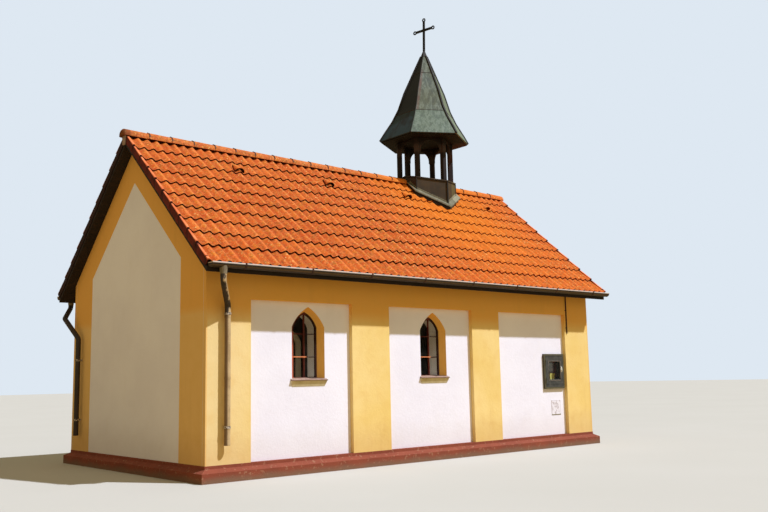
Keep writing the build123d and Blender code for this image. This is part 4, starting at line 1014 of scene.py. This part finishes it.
# Turret base
# A hexagonal drum of timber clad in aged sheet stands over the ridge, its corners closed
# by standing seams. A pale sheet apron on bearers sheds water where it meets the tiles.
turret_x, drum_radius, drum_apex, drum_fall, edge_drop = 2.027, 0.600, 5.095, 0.22, 0.010
seam_out, seam_foot, seam_bar, front_seam_bar, rim_bar, apron_edge = 0.003, 0.03, 0.011, 0.017, 0.008, 0.0445
drum_sheet = Finish("drum_sheet", Metallic=0.2, Roughness=0.6)
x, y, z = drum_sheet.axes()
rain = drum_sheet.noise(10.0, stretch=(1, 1, 0.12), detail=6.0)
cloudy = drum_sheet.noise(5.0, detail=5.0)
# Painted shade on the face toward the blind gable, a painted highlight on the front toward the entrance; the
# sheet also darkens toward the top.
drum_tone = drum_sheet.coats(
    drum_sheet.mix(cloudy.rise(0.3, 0.7), (54, 42, 20), (74, 58, 29)),
    (rain.rise(0.48, 0.75) * 0.6, (44, 32, 20)), ((x < turret_x - 0.505) * 0.65, (44, 24, 20)),
    ((x > turret_x + 0.27) * (y < 0) * 0.45, (118, 108, 60)),
    (z.rise(5.00, 5.06) * 0.4, (34, 26, 18)))
cover(drum_sheet.paint(drum_tone, roughness=0.5 + cloudy * 0.3, height=cloudy + rain * 0.5, depth=0.002),
      "turret_drum", "turret_deck")


def corner_at(radius, number, height, middle_x=turret_x):
    """A corner of a hexagon about the turret's axis, numbered from the +Y one."""
    turn = radians(90 + 60 * number)
    return Vector((middle_x + radius * cos(turn), radius * sin(turn), height))


def drum_edge(point):
    """The point moved up or down to just under the drum's top, which falls to both sides."""
    return Vector((point.x, point.y, drum_apex - drum_fall * abs(point.y) - edge_drop))


form = bmesh.new()
for number in range(6):
    here, there = (corner_at(drum_radius + seam_out, n, 0) for n in (number, number + 1))
    foot = Vector((here.x, here.y, crest_apex - roof_rise * abs(here.y) + seam_foot))
    rod(form, foot, drum_edge(here), front_seam_bar if number == 3 else seam_bar, 8)
    stops = [here, there] if here.y * there.y > -0.01 else [here, (here + there) / 2, there]
    for a, b in zip(stops, stops[1:]):
        rod(form, drum_edge(a), drum_edge(b), rim_bar, 8)
dark_sheet = mottled("dark_seam", (18, 14, 10), (44, 38, 26), 20.0, Metallic=0.2)
seams = finished("drum_seams", form, dark_sheet)
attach(seams, "chapel")

pale = Finish("apron_sheet", Metallic=0.1, Roughness=0.65)
x, y, z = pale.axes()
cloudy = pale.noise(8.0, detail=5.0)
# The bearers under the apron's edge are near-black, painted shade for the gap under the sheet.
painted_shade_under_apron = (z + abs(y) * roof_rise) < (crest_apex + apron_edge)
apron_tone = pale.coats(
    pale.mix(cloudy.rise(0.3, 0.7), (98, 92, 64), (128, 122, 94)),
    (pale.noise(26.0, detail=4.0).rise(0.50, 0.68) * 0.6, (70, 60, 40)),
    ((x > turret_x + 0.29) * 0.5, (168, 160, 128)), (painted_shade_under_apron, (32, 22, 16)))
cover(pale.paint(apron_tone, roughness=0.5 + cloudy * 0.3, height=cloudy, depth=0.002), "turret_flashing")

# Turret posts
# Six square timber posts with chamfered edges carry the spire, joined by cut boards that
# make pointed arches between them. Dark stain, with painted sunlight, redder and patchy,
# on the side toward the entrance, a paler band lower down and painted shade at the top
# under the spire's eave.
post_low, post_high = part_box("turret_posts")
post_ring, post_half, head_half, head_high = 0.510, 0.045, 0.049, 0.052
wood = Finish("turret_stain", Roughness=0.75, Specular_IOR_Level=0.3)
x, y, z = wood.axes()
fibre = wood.noise(18.0, stretch=(1, 1, 0.12), detail=6.0, rough=0.62)
# Painted sunlight, redder and patchy, on the side toward the entrance.
painted_sunlit_side = wood.noise(3.0, detail=3.0).rise(0.35, 0.6) * (x > 2.10)
wood_tone = wood.coats(
    wood.mix(fibre.rise(0.3, 0.7), (26, 21, 20), (44, 35, 33)), (painted_sunlit_side * 0.45, (92, 46, 34)),
    # A paler band, then painted shade at the top under the spire's eave.
    (z.rise(5.50, 5.58) * (1 - z.rise(5.62, 5.76)) * 0.4, (92, 76, 68)),
    (z.rise(5.66, 5.76) * 0.7, (18, 13, 12)))
turret_stain = wood.paint(wood_tone, roughness=0.65 + fibre * 0.3, height=fibre, depth=0.002)
cover(turret_stain, "turret_arches")
form = bmesh.new()
for number in range(6):
    before, foot, head = set(form.verts), post_low.z, post_high.z
    block(form, (-post_half, -post_half, foot), (post_half, post_half, head), 0.007, 1)
    block(form, (-head_half, -head_half, head - head_high), (head_half, head_half, head), 0.004, 1)
    stand = (Matrix.Translation(corner_at(post_ring, number, 0))
             @ Matrix.Rotation(radians(90 + 60 * number), 4, "Z"))
    bmesh.ops.transform(form, verts=[v for v in form.verts if v not in before], matrix=stand)
posts = finished("lantern_posts", form, turret_stain, crease=30)
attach(posts, "chapel")
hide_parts("turret_posts")

# Spire
# Sheet metal on a boarded timber spire that flares out at the foot: six faces, dark folded
# hips and thin cross seams, patchy grey-green, with a painted highlight on the sunlit face
# and painted shade, slate-dark, on the faces away from the sun. The boards under its eave
# are stained dark and darkened to nearly black as painted shade, with painted light,
# redder, toward the sun side.
spire_foot, spire_tall, spire_lean = 5.836, 1.794, 0.053
spire_radii = ((0.0, 0.890), (0.014, 0.890), (0.157, 0.805), (0.405, 0.645), (0.655, 0.522), (1.005, 0.405),
               (1.794, 0.062))
sheet_seams, hip_bar, sun_hip_bar, eave_bar, welt_bar = (6.372, 7.234), 0.023, 0.007, 0.006, 0.0055
soffit = Finish("soffit_stain_and_shade", Roughness=0.8, Specular_IOR_Level=0.2)
x, y, z = soffit.axes()
fibre = soffit.noise(12.0, stretch=(0.15, 1, 1), detail=6.0)
groove = (y % 0.095) < 0.006
# Dark stain darkened to nearly black as painted shade, with painted light, redder, toward the sun side.
soffit_tone = soffit.coats(soffit.mix(fibre.rise(0.3, 0.7), (18, 12, 10), (11, 8, 7)),
                           ((x - abs(y) * 0.2).rise(2.34, 2.66) * 0.7, (74, 26, 18)), (groove, (10, 7, 6)))
cover(soffit.paint(soffit_tone, roughness=0.7 + fibre * 0.2, height=fibre - groove, depth=0.003),
      "turret_soffit")

patina = Finish("spire_patina", Metallic=0.15, Roughness=0.6)
x, y, z = patina.axes()
runs = patina.noise(18.0, stretch=(1, 1, 0.06), detail=6.0, rough=0.65)
bloom = patina.noise(4.5, stretch=(1, 1, 0.22), detail=4.0)
fine = patina.noise(40.0, stretch=(1, 1, 0.15), detail=4.0)
outward = x - (z - spire_foot) * (spire_lean / spire_tall) - turret_x
low_panel = 1 - z.rise(6.365, 6.378)
from_hip = abs(outward * 0.866 - y * 0.5 + (spire_foot + spire_tall + 0.12 - z) * 0.19)
stained = (1 - from_hip.rise(0.010, 0.045)) * (y < 0) * (1 - low_panel) * (1 - z.rise(7.15, 7.40))
# A painted highlight on the sunlit face; painted shade, slate-dark, on the faces away from the sun.
painted_sunlit_face = (outward > 0) * (outward * 0.577 + y < 0)
painted_shade_faces = ((outward * -1.0) > (abs(y) * 1.732)).most((outward < 0) * (y > 0))
slate = patina.coats(patina.mix(bloom.rise(0.3, 0.7), (13, 19, 27), (22, 31, 38)),
                     (low_panel * bloom.rise(0.30, 0.55), (38, 62, 72)))
spire_tone = patina.coats(
    patina.mix(bloom.rise(0.32, 0.68), (56, 66, 44), (80, 84, 54)),
    (low_panel * 0.75, (78, 95, 70)), (runs.rise(0.48, 0.70) * 0.60, (44, 44, 30)),
    (fine.rise(0.50, 0.74) * 0.35, (120, 130, 102)),
    (runs.rise(0.30, 0.45) * (1 - runs.rise(0.45, 0.50)) * 0.35, (132, 140, 124)),
    (stained * runs.rise(0.25, 0.6) * 0.8, (92, 58, 34)), (painted_sunlit_face * 0.6, (134, 146, 118)),
    (painted_shade_faces, slate))
cover(patina.paint(spire_tone, roughness=0.5 + bloom * 0.25, height=fine + bloom, depth=0.0012), "spire")
cover(dark_sheet, "spire_cap")


def spire_corner(number, height):
    """A hip point of the spire at a height above the ground, out to its face."""
    rise = height - spire_foot
    for (z0, r0), (z1, r1) in zip(spire_radii, spire_radii[1:]):
        if z0 <= rise <= z1 + 1e-9:
            radius = r0 + (r1 - r0) * (rise - z0) / (z1 - z0)
            break
    return corner_at(radius, number, height, turret_x + spire_lean * rise / spire_tall)


levels = [spire_foot + rise for rise, radius in spire_radii[1:]]
# The hips' near-black is partly painted shade beside the folds.
form = bmesh.new()
for number in range(6):
    thick = sun_hip_bar if number == 2 else hip_bar
    for low, high in zip(levels, levels[1:]):
        rod(form, spire_corner(number, low), spire_corner(number, high), thick, 8)
    eave = levels[0] - eave_bar
    rod(form, spire_corner(number, eave), spire_corner(number + 1, eave), eave_bar, 8)
hips = finished("spire_hips", form, dark_sheet)
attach(hips, "chapel")

form = bmesh.new()
for number in range(6):
    for level in sheet_seams:
        rod(form, spire_corner(number, level), spire_corner(number + 1, level), welt_bar, 8)
seam_rust = mottled("seam_rust", (74, 48, 30), (44, 40, 30), 14.0, 5.0, edges=(0.35, 0.65),
                    roughness=(0.6, 0.3))
welts = finished("spire_seams", form, seam_rust)
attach(welts, "chapel")

# Roof cross
# A wrought cross of flat bar on a spike through the cap, each arm end rolled into a ring,
# with a riveted plate where the bars cross. It leans with the spire and is turned a little.
cross_foot, cross_lean, cross_turn = (2.084, 0, 7.768), radians(1.69), radians(10.0)
upright, arm_reach, arm_height = 0.650, 0.225, 0.433
bar_half, bar_deep, ring_radius, ring_bar = 0.023, 0.013, 0.029, 0.0130
plate_half, rivet_radius = 0.026, 0.007
spike_foot, spike_top, spike_wide, spike_slim = -0.004, 0.040, 0.026, 0.016
iron = Finish("cross_black", Metallic=0.3, Roughness=0.6)
hammer = iron.noise(60.0, detail=4.0)
rust = iron.noise(12.0, detail=5.0).rise(0.58, 0.72)
iron_tone = iron.coats(iron.mix(hammer, (9, 10, 14), (24, 24, 26)), (rust * 0.35, (66, 38, 26)))
cross_iron = iron.paint(iron_tone, roughness=0.5 + rust * 0.35, height=hammer, depth=0.001)
form = bmesh.new()
block(form, (-bar_deep, -bar_half, spike_foot), (bar_deep, bar_half, upright - ring_radius), 0.003)
block(form, (-bar_deep, ring_radius - arm_reach, arm_height - bar_half),
      (bar_deep, arm_reach - ring_radius, arm_height + bar_half), 0.003)
block(form, (-bar_deep - 0.003, -plate_half, arm_height - plate_half),
      (bar_deep + 0.003, plate_half, arm_height + plate_half), 0.003)
rod(form, (-0.014, 0, arm_height), (0.014, 0, arm_height), rivet_radius, 10)
rod(form, (0, 0, spike_foot), (0, 0, spike_top), spike_wide, 16, spike_slim)
for y0, z0 in ((0, upright), (arm_reach, arm_height), (-arm_reach, arm_height)):
    hoop(form, (0, y0, z0), (1, 0, 0), ring_radius, ring_bar, steps=20)
cross_place = (Matrix.Translation(cross_foot) @ Matrix.Rotation(cross_lean, 4, "Y")
               @ Matrix.Rotation(cross_turn, 4, "Z"))
bmesh.ops.transform(form, matrix=cross_place, verts=form.verts)
cross = finished("iron_cross", form, cross_iron, crease=40)
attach(cross, "chapel")
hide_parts("roof_cross")

# Notice case
# A shallow sheet-steel case let into the white panel, painted dark grey with an olive rim,
# with a hinged glazed door. Inside, one blank yellowed sheet is pinned to a dark board.
case_low, case_high, rim_wide = (2.740, 1.014), (3.285, 1.628), 0.026
pane_low, pane_high, bead_out, bead_in = (2.853, 1.161), (3.183, 1.500), 0.008, 0.006
door_face, bead_face, bead_back = -2.170, -2.173, -2.1635
case_coat = Finish("case_coat", Roughness=0.5, Specular_IOR_Level=0.35)
x, y, z = case_coat.axes()
rub = case_coat.noise(16.0, detail=5.0)
from_rim = (x - case_low[0]).least(case_high[0] - x).least(z - case_low[1]).least(case_high[1] - z)
# Inside the case, behind its front, the dark brown is painted shade.
case_tone = case_coat.coats(
    case_coat.mix(rub.rise(0.3, 0.75), (56, 58, 56), (80, 80, 74)),
    (case_coat.noise(60.0, detail=3.0).rise(0.62, 0.7) * 0.5, (116, 100, 74)),
    ((from_rim < rim_wide) * 0.8, (92, 86, 58)), (y > -2.150, (46, 28, 20)))
cover(case_coat.paint(case_tone, roughness=0.42 + rub * 0.3, height=rub, depth=0.001),
      "notice_case", "case_door")

case_pane = Finish("case_pane", Roughness=0.05)
x, y, z = case_pane.axes()
film = case_pane.noise(12.0, detail=4.0)
# A painted reflection greys the left of the pane and a strip along its bottom.
painted_reflection = (1 - (x + z * 0.10).rise(3.05, 3.16)) * z.rise(1.27, 1.34) * 0.45 + (1 - z.rise(1.175, 1.190)) * 0.5
cover(case_pane.paint(case_pane.mix(film.rise(0.4, 0.8), (84, 88, 84), (130, 132, 122)),
                      roughness=0.04 + film * 0.1, Alpha=painted_reflection + 0.05), "case_door_glass")

form = bmesh.new()
(left, low), (right, high) = pane_low, pane_high
for x0, x1, z0, z1 in ((left - bead_out, right + bead_out, low - bead_out, low + bead_in),
                       (left - bead_out, right + bead_out, high - bead_in, high + bead_out),
                       (left - bead_out, left + bead_in, low, high),
                       (right - bead_in, right + bead_out, low, high)):
    block(form, (x0, bead_face, z0), (x1, bead_back, z1), 0.0015)
bead_coat = mottled("bead_coat", (74, 72, 68), (126, 112, 100), 24.0, roughness=(0.4, 0.3))
beads = finished("pane_beads", form, bead_coat)
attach(beads, "case_door")

pull_place, pull_half, pull_high, pull_thick = (3.218, door_face, 1.350), 0.026, 0.054, 0.006
knob_metal = mottled("knob_metal", (206, 204, 190), (236, 234, 220), 200.0, 2.0, edges=None,
                     roughness=(0.3, 0.2), depth=None, Metallic=0.4)
cover(knob_metal, "case_door_knob")
form = bmesh.new()
pull = (Matrix.Translation(pull_place) @ Matrix.Rotation(pi / 2, 4, "X")
        @ Matrix.Diagonal((pull_half, pull_high, 1, 1)))
disc = bmesh.ops.create_cone(form, cap_ends=True, segments=28, radius1=1.0, radius2=0.82, depth=pull_thick,
                             matrix=pull)["verts"]
rounded(form, edges_of(disc), 0.001)
pull_plate = finished("pull_plate", form, knob_metal, crease=40)
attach(pull_plate, "case_door")

form = bmesh.new()
block(form, (2.775, -2.030, 1.100), (3.250, -2.0224, 1.580), 0.002)
board_stain = mottled("board_stain", (64, 20, 12), (104, 38, 24), 120.0, 3.0, edges=None, roughness=None,
                      Roughness=0.85)
board = finished("pin_board", form, board_stain)
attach(board, "chapel")

paper_x, paper_y, paper_z, paper_wide, paper_high = 3.105, -2.038, 1.215, 0.120, 0.140
paper_tilt, paper_thick = 0.010, 0.0008
form = bmesh.new()
bmesh.ops.create_grid(form, x_segments=8, y_segments=8, size=0.5)
for v in form.verts:
    u, w = v.co.x, v.co.y
    curl = 0.030 * max(0.0, w - 0.1) ** 2 + 0.05 * max(0.0, u + w - 0.45) ** 2
    v.co = Vector((paper_x + u * paper_wide, paper_y - curl, paper_z + w * paper_high - u * paper_tilt))
bmesh.ops.recalc_face_normals(form, faces=form.faces)
bmesh.ops.solidify(form, geom=form.faces[:], thickness=paper_thick)
yellowed = mottled("yellowed_paper", (226, 220, 120), (200, 190, 90), 18.0, 5.0, roughness=None, depth=0.0005,
                   Roughness=0.9)
sheet = finished("notice_sheet", form, yellowed, outward=False)
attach(sheet, "chapel")

# Plate and conduit
# A small bare enamel plate with four screws near the plinth, and a painted conduit that
# runs down the pilaster from the eave under three saddle clips.
plate_low, plate_high, screw_radius, screw_face = (2.935, 0.550), (3.185, 0.810), 0.0065, -2.134
screw_in, screw_low, screw_high = 0.016, 0.022, 0.018
enamel = Finish("plate_enamel", Roughness=0.35)
x, y, z = enamel.axes()
smear = enamel.noise(14.0, detail=5.0)
from_edge = (x - plate_low[0]).least(plate_high[0] - x).least(plate_high[1] - z)
smear_band = smear.rise(0.50, 0.62) * (1 - smear.rise(0.62, 0.70))
plate_tone = enamel.coats(enamel.mix(smear_band, (244, 240, 246), (204, 194, 196)),
                          ((from_edge < 0.010) * 0.6, (196, 186, 188)),
                          (z < plate_low[1] + 0.014, (128, 122, 92)))
cover(enamel.paint(plate_tone, roughness=0.3 + smear * 0.2, height=smear, depth=0.0008), "wall_plate")
form = bmesh.new()
for px in (plate_low[0] + screw_in, plate_high[0] - screw_in):
    for pz in (plate_low[1] + screw_low, plate_high[1] - screw_high):
        head = bmesh.ops.create_uvsphere(form, u_segments=12, v_segments=6, radius=screw_radius)["verts"]
        place = Matrix.Translation((px, screw_face, pz)) @ Matrix.Diagonal((1, 0.45, 1, 1))
        bmesh.ops.transform(form, verts=head, matrix=place)
screws = finished("plate_screws", form, knob_metal, crease=60)
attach(screws, "chapel")

conduit_x, conduit_y = 3.374, -2.211
saddle_levels, saddle_half, saddle_reach = (2.10, 2.42, 2.74), 0.007, 0.026
cover(bracket_coat, "wall_conduit")
form = bmesh.new()
for level in saddle_levels:
    low, high = level - saddle_half, level + saddle_half
    rod(form, (conduit_x, conduit_y, low), (conduit_x, conduit_y, high), 0.0125, 16)
    block(form, (conduit_x - saddle_reach, -2.2025, low), (conduit_x + saddle_reach, -2.1995, high), 0.001)
saddles = finished("conduit_saddles", form, bracket_coat)
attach(saddles, "chapel")
